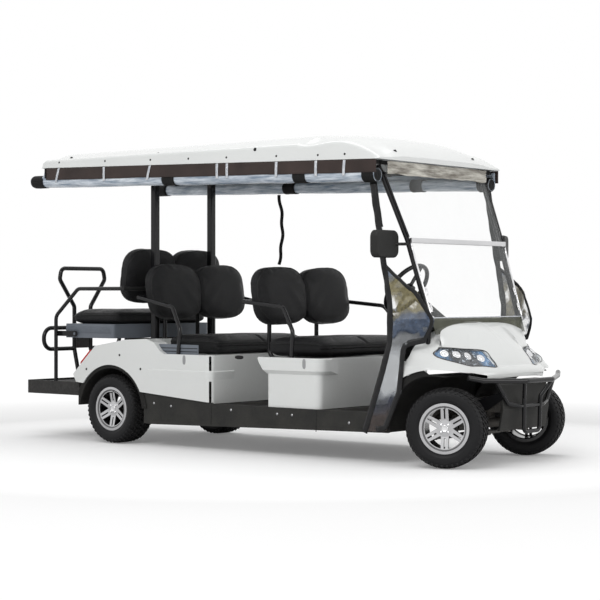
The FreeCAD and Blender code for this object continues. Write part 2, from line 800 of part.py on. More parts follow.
def make_suspension():
    """The four leaf springs between the axles and the frame."""
    shapes = []
    inner = (mm("rail_spacing") - mm("spring_width")) / 2
    over = mm("wheel_radius") + mm("axle_tube_radius") + 0.3
    for axle, half, rise in SPRINGS:
        x = mm(axle)

        def at(along_x, z):
            return Vector(x + along_x, inner, z)

        curve = [
            Part.Arc(at(-half, over + rise), at(0, over), at(half, over + rise)).toShape(),
            Part.LineSegment(at(half, over + rise), at(half, over + rise + 14)).toShape(),
            Part.Arc(at(half, over + rise + 14), at(0, over + 22), at(-half, over + rise + 14)).toShape(),
            Part.LineSegment(at(-half, over + rise + 14), at(-half, over + rise)).toShape(),
        ]
        spring = Part.Face(Part.Wire(curve)).extrude(Vector(0, mm("spring_width"), 0))
        shapes += [spring, mirrored(spring)]
    return node(feature("LeafSprings", Part.makeCompound(shapes)), "leaf_springs")


def make_motor():
    """The drive motor, one plain drum ahead of the differential."""
    drum = cylinder(
        "DriveMotor", "92", "250", ("rear_axle + 174", "-165", "wheel_radius + 12"), axis="y")
    return node(drum, "drive_motor")


def make_battery():
    """The battery pack under the front bench, one plain block."""
    pack = box(
        "BatteryPack",
        ("front_pod_depth - 2 * body_wall - 20", "body_width - 2 * lip_reach - 2 * body_wall - 120", "250"),
        ("front_axle - front_pod_rear + body_wall + 10", "60 + lip_reach + body_wall - body_reach",
         "floor_top + seat_gap"),
    )
    return node(pack, "battery_pack")


def make_tyre(name, axle, side):
    """A tubeless tyre: crown, shoulders, side walls and beads turned about the wheel's axis."""
    half = "tyre_width / 2"
    outer = [  # across, radius
        ("rim_width / 2 - 10 - seat_gap", "rim_diameter / 2 + seat_gap"),
        ("rim_width / 2 - 8 - seat_gap", "rim_diameter / 2 + flange_rise + 1"),
        (f"{half} - 7", "rim_diameter / 2 + flange_rise + 7"),
        (half, "tyre_diameter / 2 - 48"),
        (f"{half} - 4", "tyre_diameter / 2 - 22"),
        (f"{half} - 20", "tyre_diameter / 2 - 5"),
        (f"{half} - 44", "tyre_diameter / 2"),
    ]
    inner = [
        (f"{half} - 58", "tyre_diameter / 2 - tyre_wall"),
        (f"{half} - 20", "tyre_diameter / 2 - tyre_wall - 14"),
        (f"{half} - 13", "tyre_diameter / 2 - 52"),
        (f"{half} - 34", "rim_diameter / 2 + seat_gap"),
    ]
    ring = outer + [(f"-({across})", radius) for across, radius in reversed(outer)]
    hollow = [(f"-({across})", radius) for across, radius in reversed(inner)] + inner
    body = turned_profile("Tyre_" + name, ring + hollow)
    body.Placement = wheel_place(axle, side)
    return node(body, "tyre_" + name)


def wheel_place(axle, side):
    """Where a wheel built round the origin goes; front wheels take the parked steering angle."""
    spot = Vector(mm(axle), side * mm("wheel_reach"), mm("wheel_radius"))
    place = Placement(spot, Rotation(Vector(0, 0, 1), 0 if side > 0 else 180))
    return steered(place, side) if axle == "wheel_line" else place


def make_rim(name, axle, side):
    """An alloy wheel: barrel and dished face turned, then six windows and six spoke slots cut."""
    half = "rim_width / 2"
    profile = [  # across (+ is outboard), radius
        (f"-({half})", "rim_diameter / 2 + flange_rise"),
        (f"-({half}) + 8", "rim_diameter / 2 + flange_rise"),
        (f"-({half}) + 10", "rim_diameter / 2"),
        (f"{half} - 10", "rim_diameter / 2"),
        (f"{half} - 8", "rim_diameter / 2 + flange_rise"),
        (half, "rim_diameter / 2 + flange_rise"),
        (f"{half} + 1", "rim_diameter / 2 + 2"),
        (f"{half} - 6", "rim_diameter / 2 - 8"),
        (f"{half} - 22", "hub_radius + 14"),
        (f"{half} - 20", "hub_radius - 4"),
        (f"{half} - 16", "0"),
        (f"{half} - 26", "0"),
        (f"{half} - 26", "spindle_radius + running_fit"),
        ("-42", "spindle_radius + running_fit"),
        ("-42", "hub_radius"),
        (f"{half} - 22 - spoke_depth", "hub_radius + 6"),
        (f"{half} - 6 - spoke_depth", "rim_diameter / 2 - rim_wall - 2"),
        (f"-({half}) + 12", "rim_diameter / 2 - rim_wall"),
        (f"-({half})", "rim_diameter / 2"),
    ]
    body = turned_profile("Rim_" + name, profile)
    solid_volume = body.Shape.Volume
    edge = mm("spoke_width") + mm("spoke_slot") / 2
    outer = mm("rim_diameter") / 2 - 12
    start = math.degrees(math.asin(edge / outer))
    window = [(30, edge / math.sin(math.radians(30)) + 3)]
    for step in range(5):
        window.append((start + (60 - 2 * start) * step / 4, outer))
    window_points = [
        (f"{radius * math.sin(math.radians(angle)):.4f}", f"{radius * math.cos(math.radians(angle)):.4f}")
        for angle, radius in window
    ]
    slot_points = [
        ("-spoke_slot / 2", "hub_radius + 22"), ("spoke_slot / 2", "hub_radius + 22"),
        ("spoke_slot / 2", "rim_diameter / 2 - 14"), ("-spoke_slot / 2", "rim_diameter / 2 - 14"),
    ]
    last = None
    for label, points in (("window", window_points), ("slot", slot_points)):
        sketch = sketch_outline(body, f"Rim_{name}_{label}_outline", "XZ_Plane", points)
        DOC.recompute()
        pocket = body.newObject("PartDesign::Pocket", f"Rim_{name}_{label}")
        pocket.Profile = sketch
        pocket.setExpression("Length", bound("rim_width"))
        pocket.Reversed = False
        DOC.recompute()
        if abs(body.Shape.Volume - solid_volume) < 1:
            pocket.Reversed = True
            DOC.recompute()
        pattern = body.newObject("PartDesign::PolarPattern", f"Rim_{name}_{label}_pattern")
        pattern.Originals = [pocket]
        pattern.Axis = (sketch, ["N_Axis"])
        pattern.Angle = 360
        pattern.Occurrences = 6
        body.Tip = pattern
        DOC.recompute()
        solid_volume = body.Shape.Volume
        last = pattern
    body.Tip = last
    body.Placement = wheel_place(axle, side)
    return node(body, "rim_" + name)


# ---------------------------------------------------------------------------- seats and rails
def make_cushion(name, label, front, bottom, thickness):
    """One bench cushion as a plain closed block with rounded top edges."""
    half = mm("cushion_width") / 2
    pad = block((behind(front + mm("cushion_depth")), -half, bottom),
        (behind(front), half, bottom + thickness))
    pad = rounded_edges(pad, 34, lambda e: e.CenterOfMass.z > bottom + thickness - 1 or along(e, "z"))
    return node(feature(name, pad), label)


def make_backrest(name, label, setback, bottom, lean):
    """One backrest: two rounded lobes joined in the middle, tilted by its lean."""
    half = mm("backrest_width") / 2
    height = mm("backrest_height")
    thick = mm("backrest_thickness")
    radius = 150
    lobe = block((-thick / 2, -4, 0), (thick / 2, half, height))
    lobe = rounded_edges(lobe, radius, lambda e: along(e, "x"))
    lobe = rounded_edges(lobe, 30, lambda e: abs(abs(e.CenterOfMass.x) - thick / 2) < 0.5)
    shape = lobe.fuse(mirrored(lobe)).removeSplitter()
    item = feature(name, shape)
    item.Placement = Placement(Vector(behind(setback), 0, bottom), Rotation(Vector(0, 1, 0), lean))
    return node(item, label)


def make_backrest_frames():
    """The steel frames that carry the two forward backrests: uprights and a cross bar each."""
    radius = mm("seat_tube_radius")
    half = mm("backrest_width") / 2 + 16
    shapes = []
    for setback, bottom in (
        (frame_plane("front"), mm("front_backrest_bottom")),
            (frame_plane("second"), mm("second_backrest_bottom")),
    ):
        x = behind(setback)
        parts = [rod((x, -half, bottom + 165), (x, half, bottom + 165), radius)]
        for side in (1, -1):
            y = side * 240
            if bottom == mm("front_backrest_bottom"):
                base = mm("pod_top") - 22
                parts.append(tube(
                    [(behind(mm("front_pod_rear")) - mm("seat_gap"), y, base), (x, y, base),
                        (x, y, bottom + 178)],
                    radius, 60))
            else:
                parts.append(rod((x, y, 694.4), (x, y, bottom + 178), radius))
        shapes.append(parts[0].fuse(parts[1:]).removeSplitter())
    return node(feature("BackrestFrames", Part.makeCompound(shapes)), "backrest_frames")


def frame_plane(row):
    """The setback of a backrest frame's tubes, just behind the backrest they carry."""
    away = mm("backrest_thickness") / 2 + mm("seat_tube_radius")
    if row == "rear":
        return mm("rear_backrest_setback") - away - 7
    return mm(row + "_backrest_setback") + away + 10


def make_arm_rails():
    """The bent tube rails at both sides of the three benches, with the flip seat's pivot plates."""
    radius = mm("handrail_radius")
    top = mm("pod_top")
    step = mm("step_top")
    seat_tube = mm("seat_tube_radius")
    front_end = frame_plane("front") - seat_tube - 1.5
    second_end = frame_plane("second") - seat_tube - 1.5
    rear_end = frame_plane("rear") + seat_tube + mm("seat_gap")
    rails = [
        ([(1092, 580, top + 1.8), (1096, 562, 765), (1212, 520, 916), (front_end, 505, 945)], 60),
        ([(2040, 580, top + 1.8), (2040, 562, 760), (2150, 520, 910), (second_end, 505, 971)], 60),
        ([(3262, 520, step - 11.7), (3262, 520, 842), (3040, 520, 1030), (rear_end, 520, 1030)], 60),
    ]
    pivot = (behind(mm("flip_pivot_setback")), mm("flip_pivot_height"))
    inner = mm("deck_width") / 2 + 15
    plate = block((behind(3262), inner, pivot[1] - 18), (pivot[0], inner + 8, pivot[1] + 18))
    plate = plate.fuse([
        Part.makeCylinder(20, 8, Vector(pivot[0], inner, pivot[1]), Vector(0, 1, 0)),
        block((behind(3262) - 8, inner, pivot[1] - 18), (behind(3262) + 8, 520, pivot[1] + 18)),
    ]).cut(Part.makeCylinder(9 + mm("running_fit"), 30, Vector(pivot[0], inner - 10, pivot[1]),
        Vector(0, 1, 0)))
    shapes = []
    for points, bend in rails:
        shape = tube([(behind(setback), y, z) for setback, y, z in points], radius, bend)
        if points[0][0] == 3262:
            shape = shape.fuse(plate).removeSplitter()
        shapes += [shape, mirrored(shape)]
    return node(feature("ArmRails", Part.makeCompound(shapes)), "arm_rails")


def make_rear_seat_base():
    """The dark frame that carries the rear backrest and bears the closed flip seat."""
    deck_low = mm("rear_cushion_height") - mm("deck_thickness") - mm("seat_gap")
    plane = frame_plane("rear")
    radius = mm("seat_tube_radius")
    top = mm("rear_backrest_bottom") + 115
    parts = [rod((behind(plane), -533, top), (behind(plane), 533, top), radius)]
    for side in (1, -1):
        rail = prism_y(
            [(behind(2530), deck_low), (behind(2895), deck_low), (behind(2895), deck_low - 34),
             (behind(2800), 647.4), (behind(2790), 647.4), (behind(2530), 688.5)],
            side * 200 - 20, side * 200 + 20)
        parts.append(rail)
        parts.append(rod((behind(plane), side * 200, deck_low - 10), (behind(plane), side * 200, top),
            radius))
    shape = parts[0].fuse(parts[1:]).removeSplitter()
    return node(feature("RearSeatBase", shape), "rear_seat_base")


def make_flip_deck():
    """The grey deck box under the rear cushion, which turns over with it into a load deck."""
    half = mm("deck_width") / 2
    rear = mm("rear_cushion_rear") + 18
    front = mm("rear_cushion_rear") - mm("cushion_depth") + 30
    top = mm("rear_cushion_height") - mm("seat_gap")
    low = mm("rear_cushion_height") - mm("deck_thickness")
    deck = block((behind(rear), -half, low), (behind(front), half, top))
    deck = rounded_edges(deck, 26, lambda e: along(e, "z"))
    x = behind(mm("flip_pivot_setback"))
    z = mm("flip_pivot_height")
    pins = [rod((x, side * (half - 6), z), (x, side * (half + 26), z), 9) for side in (1, -1)]
    return node(feature("FlipDeck", deck.fuse(pins).removeSplitter()), "flip_deck")


def make_step():
    """The moulded step behind the rear bench, with a raised rim round its tread."""
    half = mm("step_width") / 2
    top = mm("step_top")
    low = top - mm("step_thickness")
    x0 = behind(mm("step_rear"))
    x1 = behind(mm("step_front"))
    slab = block((x0, -half, low), (x1, half, top))
    slab = rounded_edges(slab, 40, lambda e: along(e, "z") and e.CenterOfMass.x < x0 + 1)
    slab = slab.cut(block((x0 + 20, -half + 24, top - 12), (x1 + 1, half - 24, top + 1)))
    hollow = block((x0 + 14, -half + 14, low - 1), (x1 - 14, half - 14, low + 60))
    return node(feature("RearStep", slab.cut(hollow)), "rear_step")


def make_grab_bar():
    """The rear grab bar: a wide loop on two close legs, with a plate and a low hoop each side."""
    radius = mm("grab_bar_radius")
    x = mm("tail_tip") + radius
    foot_x = x + 62
    foot_z = mm("step_top") - 12 + 4.6
    left = [(foot_x, 88, foot_z), (x, 80, 600), (x, 80, 905), (x, 222, 1100), (x, 150, 1195)]
    right = [(px, -py, pz) for px, py, pz in reversed(left)]
    loop = tube(left[:-1] + [(x, 205, 1178), (x, -205, 1178)] + right[1:], radius, 42)
    hoop = tube([(x, 78, 752), (x, 372, 752), (x, 372, 602), (x, 78, 602)], radius, 70)
    plate = block((x - 3, -78, 604), (x + 3, 78, 716))
    shape = loop.fuse([hoop, mirrored(hoop), plate]).removeSplitter()
    return node(feature("GrabBar", shape), "rear_grab_bar")


# ---------------------------------------------------------------------------- roof and windshield
ROOF_LEVELS = [
    # setback, drawn in at the sides, brim below its full height, crown below its full height
    (3300, 34, 24, 36),
    (3262, 8, 6, 8),
    (3200, 0, 0, 0),
    (1000, 0, 9, 0),
    (780, 0, 12, 14),
    (650, 0, 14, 36),
    (551, 0, 38, 70),
    (450, 0, 83, 122),
    (385, 2, 121, 168),
]


def roof_section(setback, half, rim, brim, crown, inset):
    """One upright outline of the roof: a leaning edge band, a flat brim and a raised crown."""
    x = behind(setback)
    low = rim if inset == 0 else rim - 9
    edge = half - inset
    band_top = max(brim - 26, rim + 0.45 * (brim - rim)) - inset
    level = brim - inset
    rise = crown - brim

    def at(y, z):
        return Vector(x, y, z)

    def other(point):
        return Vector(point.x, -point.y, point.z)

    shoulder = at(edge - 13, level - 0.3 * (level - band_top))
    side = [
        at(edge - 34, level), at(edge - 110, level + 0.12 * rise), at(edge - 200, level + 0.62 * rise),
        at(edge - 330, level + 0.90 * rise),
    ]
    top = Part.BSplineCurve()
    top.interpolate(side + [at(0, level + rise)] + [other(point) for point in reversed(side)])
    return Part.Wire([
        Part.LineSegment(other(at(edge, low)), at(edge, low)).toShape(),
        Part.LineSegment(at(edge, low), at(edge - 6, band_top)).toShape(),
        Part.Arc(at(edge - 6, band_top), shoulder, side[0]).toShape(),
        top.toShape(),
        Part.Arc(other(side[0]), other(shoulder), other(at(edge - 6, band_top))).toShape(),
        Part.LineSegment(other(at(edge - 6, band_top)), other(at(edge, low))).toShape(),
    ])


def make_roof():
    """The long white roof, a thin dished shell that falls away over the windshield."""
    half = mm("roof_width") / 2
    wall = mm("roof_wall")
    ends = {ROOF_LEVELS[0][0]: -wall, ROOF_LEVELS[-1][0]: wall}
    skins = []
    for inset in (0, wall):
        sections = []
        for setback, drawn_in, brim_drop, crown_drop in ROOF_LEVELS:
            place = setback + (ends.get(setback, 0) if inset else 0)
            sections.append(roof_section(
                place, half - drawn_in, rim_height(setback), mm("roof_brim") - brim_drop,
                mm("roof_crown") - crown_drop, inset))
        stretches = [Part.makeLoft(run, True, False) for run in (sections[:3], sections[2:4], sections[3:])]
        skins.append(stretches[0].fuse(stretches[1:]).removeSplitter())
    shell = skins[0].cut(skins[1])
    largest = max(shell.Solids, key=lambda solid: solid.Volume)
    return node(feature("RoofShell", largest), "roof_shell")


def rim_height(setback):
    """The height of the roof's rim at a distance behind the front axle."""
    share = (setback - mm("roof_front")) / (mm("roof_rear") - mm("roof_front"))
    return mm("roof_rim_front") + share * (mm("roof_rim_rear") - mm("roof_rim_front"))


def make_roof_frame():
    """The square-tube frame under the roof: two side rails and five cross bars out to its rim."""
    size = mm("roof_frame_tube")
    front = 450
    rear = 3230
    y = mm("roof_width") / 2 - 120
    reach = mm("roof_width") / 2 - mm("roof_wall") + 0.2

    def rail_z(setback):
        return rim_height(setback) - mm("seat_gap") - size

    rail = prism_y(
        [(behind(front), rail_z(front)), (behind(rear), rail_z(rear)),
         (behind(rear), rail_z(rear) + size), (behind(front), rail_z(front) + size)],
        y - size / 2, y + size / 2)
    parts = [rail, mirrored(rail)]
    inside = y - size / 2 - mm("seat_gap")
    outside = y + size / 2 + mm("seat_gap")
    for setback in (front + 14, 1250, 1900, mm("rear_post_setback"), rear - 14):
        x = behind(setback)
        z = rail_z(setback - 13)
        stub = block((x - 13, outside, z + 1), (x + 13, reach, z + size - 1))
        parts.append(block((x - 13, -inside, z + 1), (x + 13, inside, z + size - 1)))
        parts.append(stub)
        parts.append(mirrored(stub))
    return node(feature("RoofFrame", Part.makeCompound(parts)), "roof_frame")


def make_rear_posts():
    """The pair of square posts behind the second bench that carry the roof."""
    half = mm("rear_post_width") / 2
    setback = mm("rear_post_setback")
    top = rim_height(setback - 13) - mm("roof_frame_tube") + 1 - 2 * mm("seat_gap")
    shapes = []
    for side in (1, -1):
        y = side * mm("rear_post_spacing") / 2
        x = behind(setback)
        post = block((x - half, y - half, 690.4), (x + half, y + half, top))
        post = rounded_edges(post, 8, lambda e: along(e, "z"))
        shapes.append(post)
    return node(feature("RearPosts", Part.makeCompound(shapes)), "rear_roof_posts")


def strut_point(height):
    """The point of the left windshield strut's centre line at one height, along its two runs."""
    low, high = ("foot", "middle") if height < mm("strut_middle_height") else ("middle", "head")
    share = (height - mm(f"strut_{low}_height")) / (mm(f"strut_{high}_height") - mm(f"strut_{low}_height"))
    setback, reach = [
        mm(f"strut_{low}_{name}") + share * (mm(f"strut_{high}_{name}") - mm(f"strut_{low}_{name}"))
        for name in ("setback", "reach")
    ]
    return (behind(setback), reach, height)


def make_windshield_frame():
    """The two struts: a short upright foot down to the cowl, then two leaning runs to the roof."""
    foot = strut_point(mm("strut_foot_height"))
    path = [
        (foot[0] - 4, foot[1] + 10, mm("strut_foot_height") - 250), foot,
        strut_point(mm("strut_middle_height")), strut_point(mm("strut_head_height")),
    ]
    left = tube(path, mm("strut_radius"), 60).cut(cowl_skin(-mm("seat_gap")))
    left = max(left.Solids, key=lambda solid: solid.BoundBox.ZMax)
    return node(feature("WindshieldFrame", pair(left)), "windshield_struts")


PANE_AHEAD = 16.3
PANE_OVERLAP = 4


def make_pane(name, label, low, high):
    """One flat clear pane that leans with the struts, just ahead of them."""
    corners = []
    for height in (low, high):
        x, reach, z = strut_point(height)
        corners += [Vector(x + PANE_AHEAD, side * (reach + PANE_OVERLAP), z) for side in (1, -1)]
    outline = [corners[0], corners[1], corners[3], corners[2], corners[0]]
    pane = Part.Face(Part.makePolygon(outline)).extrude(Vector(mm("pane_thickness"), 0, 0))
    return node(feature(name, pane.cut(cowl_skin(-mm("seat_gap")))), label)


def make_middle_rail():
    """The bright rail that joins the two panes."""
    centre = mm("pane_middle")
    root, reach, _ = strut_point(centre)
    half = reach + 8
    x = root + PANE_AHEAD + 4.9
    rail = block((x, -half, centre - 15), (x + 14, half, centre + 15))
    rail = rounded_edges(rail, 4, lambda e: along(e, "y"))
    return node(feature("MiddleRail", rail), "windshield_rail")


# ---------------------------------------------------------------------------- curtains, front details


def make_roll(side, label):
    """A side curtain rolled up under the roof's edge, with the flap it hangs from."""
    y = mm("roll_reach")
    front = (behind(mm("roll_front")), y, mm("roll_height_front"))
    rear = (behind(mm("roll_rear")), y, mm("roll_height_rear"))
    flap_y = mm("roof_width") / 2 - mm("roof_wall") + 0.5
    top_front = rim_height(mm("roll_front")) - mm("seat_gap")
    top_rear = rim_height(mm("flap_rear")) - mm("seat_gap")
    flap_end = behind(mm("flap_rear"))
    flap = prism_y(
        [(front[0], front[2]), (flap_end, rear[2] - 5), (flap_end, top_rear), (front[0], top_front)],
        flap_y, flap_y + mm("curtain_thickness"))
    shape = rod(rear, front, mm("roll_radius")).fuse(flap)
    if side < 0:
        shape = mirrored(shape)
    return node(feature("CurtainRoll_" + label, shape), "curtain_roll_" + label)


def make_quarter_curtain(side, label):
    """The clear front quarter curtain, a thin sheet from the roll to the sill."""
    thick = mm("curtain_thickness")
    points = [  # setback, height
        (425, 1643.8), (476, 1643.8), (398, 1190), (350, 930), (352, 716), (384, 606), (534, 190), (430, 190),
        (356, 200), (250, 424), (222, 640), (215, 690), (120, 712), (80, 800), (72, 846), (160, 1010),
        (382, 1185), (382, 1385),
    ]
    lap = [(behind(600), 604), (behind(215), 604), (behind(60), 520), (behind(60), 520 + thick),
           (behind(215), 604 + thick), (behind(600), 604 + thick)]
    low = Vector(0, 0, 100)
    bent = Part.Face(Part.makePolygon([Vector(x, y, 0) + low for x, y in lap + lap[:1]])).extrude(Vector(0,
        0, 1600))
    sheet = bent.common(prism_y([(behind(setback), z) for setback, z in points], 400, 700))
    if side < 0:
        sheet = mirrored(sheet)
    return node(feature("QuarterCurtain_" + label, sheet), "quarter_curtain_" + label)


def make_brush_guard():
    """The front guard: a bowed top bar, a dropped middle bar and two uprights in a low loop."""
    radius = mm("guard_tube_radius")
    tip = mm("nose_tip") - radius
    z = mm("guard_height")
    reach = mm("guard_reach")
    top = tube([
        (tip - 170, -reach, z + 12), (tip - 125, -reach + 80, z - 4), (tip, -140, z - 12), (tip, 140, z - 12),
        (tip - 125, reach - 80, z - 4), (tip - 170, reach, z + 12)], radius, 60)
    middle = tube([
        (tip - 96, -318, z - 9), (tip - 82, -212, z - 142), (tip - 55, -125, z - 160),
            (tip - 55, 125, z - 160),
        (tip - 82, 212, z - 142), (tip - 96, 318, z - 9)], radius - 4, 24)
    low = z - mm("guard_drop")
    loop = tube([
        (tip - 6, -150, z - 13), (tip - 50, -88, z - 110), (tip - 55, -84, low), (tip - 55, 84, low),
        (tip - 50, 88, z - 110), (tip - 6, 150, z - 13)], radius - 3, 26)
    side_y = (mm("rail_spacing") + mm("rail_width")) / 2 + mm("seat_gap")
    ahead = mm("front_axle")
    plate = prism_y([(ahead + 40, 322), (ahead + 40, 378), (ahead + 212, 430), (ahead + 229, 424),
                     (ahead + 229, 400), (ahead + 110, 322)], side_y, side_y + 6)
    shape = top.fuse([middle, loop, plate, mirrored(plate)]).removeSplitter()
    return node(feature("BrushGuard", shape), "brush_guard")


def farthest_left(shape):
    """The largest Y that a shape's surface reaches."""
    return max(point.y for point in shape.tessellate(0.05)[0])


def make_mirrors():
    """The two side mirrors on their arms, the left one folded back along its strut."""
    height = mm("mirror_height")
    root, reach, _ = strut_point(height)
    shapes = []
    for side, fold, back in ((1, 26, 20), (-1, 0, 60)):
        x = root - back
        away = mm("mirror_reach") - reach - mm("strut_radius")
        start = reach + mm("strut_radius") + mm("seat_gap") + 0.2
        head = block((x - 36, start + away - 108, height - 80), (x + 14, start + away + 108, height + 80))
        head = rounded_edges(head, 44, lambda e: along(e, "x"))
        head = rounded_edges(head, 12, lambda e: abs(e.CenterOfMass.x - (x + 14)) < 0.5)
        outer = farthest_left(head)
        head.rotate(Vector(x, start + 14, height), Vector(0, 0, 1), fold)
        head.translate(Vector(0, outer - farthest_left(head), 0))
        arm = rod((root, start + 24, height), (root, start, height), 9)
        link = rod((root, start + 14, height), (x - 4, start + 52, height), 9)
        shape = head.fuse([arm, link]).removeSplitter()
        shapes.append(shape if side > 0 else mirrored(shape))
    return node(feature("Mirrors", Part.makeCompound(shapes)), "mirrors")


COLUMN_WAY = Vector(-math.cos(math.radians(mm("column_tilt"))), 0, math.sin(math.radians(mm("column_tilt"))))


def column_point(distance):
    """A point on the column's axis, at a distance down from the steering wheel's centre."""
    centre = Vector(behind(mm("steering_wheel_setback")), mm("column_reach"), mm("steering_wheel_height"))
    return centre - COLUMN_WAY * distance


def make_dashboard():
    """The black dash between the windshield struts."""
    outline = [
        ("front_axle - 166.6", "826"), ("front_axle - 165.4", "830.4"), ("front_axle - 164.4", "831.8"),
        ("front_axle - 160.7", "833.4"), ("front_axle - 160.7", "841"),
        ("front_axle - 345", "846"), ("front_axle - 405", "800"),
        ("front_axle - 385", "640"), ("front_axle - 330", "600"), ("front_axle - 310", "612"),
        ("front_axle - 350", "660"), ("front_axle - 365", "780"), ("front_axle - 330", "806"),
        ("front_axle - 173.4", "800"),
    ]
    panel = padded_profile("Dashboard", "XZ_Plane", outline, "dash_width")
    hole = feature("DashboardHole", Part.makeCylinder(24.3, 300, column_point(620), COLUMN_WAY))
    return node(cut("DashboardBored", panel, hole), "dashboard")


def make_steering_column():
    """The fixed jacket of the steering column, from under the wheel down through the dash."""
    length = 500
    jacket = Part.makeCylinder(24, length, column_point(60 + length), COLUMN_WAY)
    bore = Part.makeCylinder(12 + mm("running_fit"), length, column_point(60 + length), COLUMN_WAY)
    return node(feature("SteeringColumn", jacket.cut(bore)), "steering_column")


def make_steering_wheel():
    """The steering wheel: rim, hub, three spokes and the shaft inside the jacket."""
    radius = mm("steering_wheel_radius")
    ring = Part.makeTorus(radius, 14)
    hub = Part.makeCylinder(42, 34, Vector(0, 0, -36))
    spokes = [
        Part.makeBox(radius - 30, 30, 9, Vector(30, -15, -20)).rotated(Vector(), Vector(0, 0, 1), angle)
        for angle in (0, 180, 270)
    ]
    shaft = Part.makeCylinder(12, 500, Vector(0, 0, -520))
    shape = ring.fuse([hub, shaft] + spokes).removeSplitter()
    item = feature("SteeringWheel", shape)
    item.Placement = Placement(column_point(0), Rotation(Vector(0, 0, 1), COLUMN_WAY))
    return node(item, "steering_wheel")


def make_pedals():
    """The accelerator and brake pedals on the toe board."""
    shapes = []
    for y, half, z in ((205, 34, 380), (320, 46, 400)):
        board = mm("front_floor_setback") + 8 - (z + 20 - mm("floor_top")) * 91 / 219
        pad = block((behind(board + 26), y - half, z), (behind(board + 14), y + half, z + 96))
        arm = block((behind(board + 15), y - 8, z + 20), (behind(board + 0.6), y + 8, z + 40))
        shapes.append(pad.fuse(arm).removeSplitter())
    return node(feature("Pedals", Part.makeCompound(shapes)), "pedals")


def make_tail_lights():
    """The two red lamps on the rear body's sloping back."""
    reach = mm("body_reach")
    start = Vector(behind(2790), 0, 647)
    slope = (Vector(behind(3005), 0, 452) - start).normalize()
    out = Vector(slope.z, 0, -slope.x)
    corners = [start + slope * along_slope + out * proud for along_slope, proud in (
        (55, 0.3), (200, 0.3), (185, 16), (60, 16))]
    lamp = prism_y([(corner.x, corner.z) for corner in corners], reach - 130, reach - 6)
    return node(feature("TailLights", pair(lamp)), "tail_lights")


# ---------------------------------------------------------------------------- assembly
def make_all():
    """Make every sub-part."""
    make_chassis_frame()
    make_floor_pan()
    make_front_pod()
    make_rear_body()
    make_front_cowl()
    make_fascia()
    make_skirts()
    make_liners()
    make_front_axle()
    make_knuckle(1, "left")
    make_knuckle(-1, "right")
    make_steering_rack()
    make_rack_housing()
    make_rear_axle()
    make_suspension()
    make_motor()
    make_battery()
    for end, axle in (("front", "wheel_line"), ("rear", "rear_axle")):
        for side, hand in ((1, "left"), (-1, "right")):
            make_tyre(f"{end}_{hand}", axle, side)
            make_rim(f"{end}_{hand}", axle, side)
    seat = mm("pod_top") + mm("seat_gap")
    make_cushion("FrontCushion", "front_cushion", mm("front_cushion_front"), seat, mm("cushion_thickness"))
    make_cushion("SecondCushion", "second_cushion", mm("second_cushion_front"), seat, mm("cushion_thickness"))
    make_cushion(
        "RearCushion", "rear_cushion", mm("rear_cushion_rear") - mm("cushion_depth"),
        mm("rear_cushion_height"), mm("rear_cushion_thickness"))
    make_backrest("FrontBackrest", "front_backrest", mm("front_backrest_setback"),
        mm("front_backrest_bottom"), -3)
    make_backrest("SecondBackrest", "second_backrest", mm("second_backrest_setback"),
        mm("second_backrest_bottom"), -3)
    make_backrest("RearBackrest", "rear_backrest", mm("rear_backrest_setback"), mm("rear_backrest_bottom"), 3)
    make_backrest_frames()
    make_arm_rails()
    make_rear_seat_base()
    make_flip_deck()
    make_step()
    make_grab_bar()
    make_roof()
    make_roof_frame()
    make_rear_posts()
    make_windshield_frame()
    make_pane("LowerPane", "windshield_lower", mm("pane_bottom"), mm("pane_middle") - 15.3)
    make_pane("UpperPane", "windshield_upper", mm("pane_middle") + 15.3, mm("pane_top"))
    make_middle_rail()
    for side, hand in ((1, "left"), (-1, "right")):
        make_roll(side, hand)
        make_quarter_curtain(side, hand)
    make_brush_guard()
    make_mirrors()
    make_dashboard()
    make_steering_column()
    make_steering_wheel()
    make_pedals()
    make_tail_lights()


def check_and_export():
    """Stop on any failed object or shape, then write one STEP file for each sub-part."""
    DOC.recompute()
    for item in DOC.Objects:
        if {"Invalid", "Error"} & set(item.State):
            raise RuntimeError(f"{item.Label} failed: {item.State}")
    os.makedirs("parts", exist_ok=True)
    for item in NODES:
        shape = item.Shape
        if shape.isNull() or not shape.isValid() or not shape.Solids:
            raise RuntimeError(f"{item.Label} has no valid solid")
        shape.exportStep(f"parts/{item.Label}.step")
    print(len(NODES), "sub-parts written")


make_all()
check_and_export()
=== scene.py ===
"""Looks for the six-seat golf cart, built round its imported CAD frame.

Everything is in metres in the frame of the CAD: +X forward, +Y to the driver's left, +Z up.
Each sub-assembly is a class that dresses its CAD nodes and adds the pieces that CAD leaves out.
"""
from __future__ import annotations

import bmesh
import bpy
import json
import logging
import math
from contextlib import contextmanager
from dataclasses import dataclass, field
from enum import Enum
from typing import Callable, Iterable, Iterator, Sequence

from mathutils import Matrix, Quaternion, Vector, noise
from mathutils.bvhtree import BVHTree

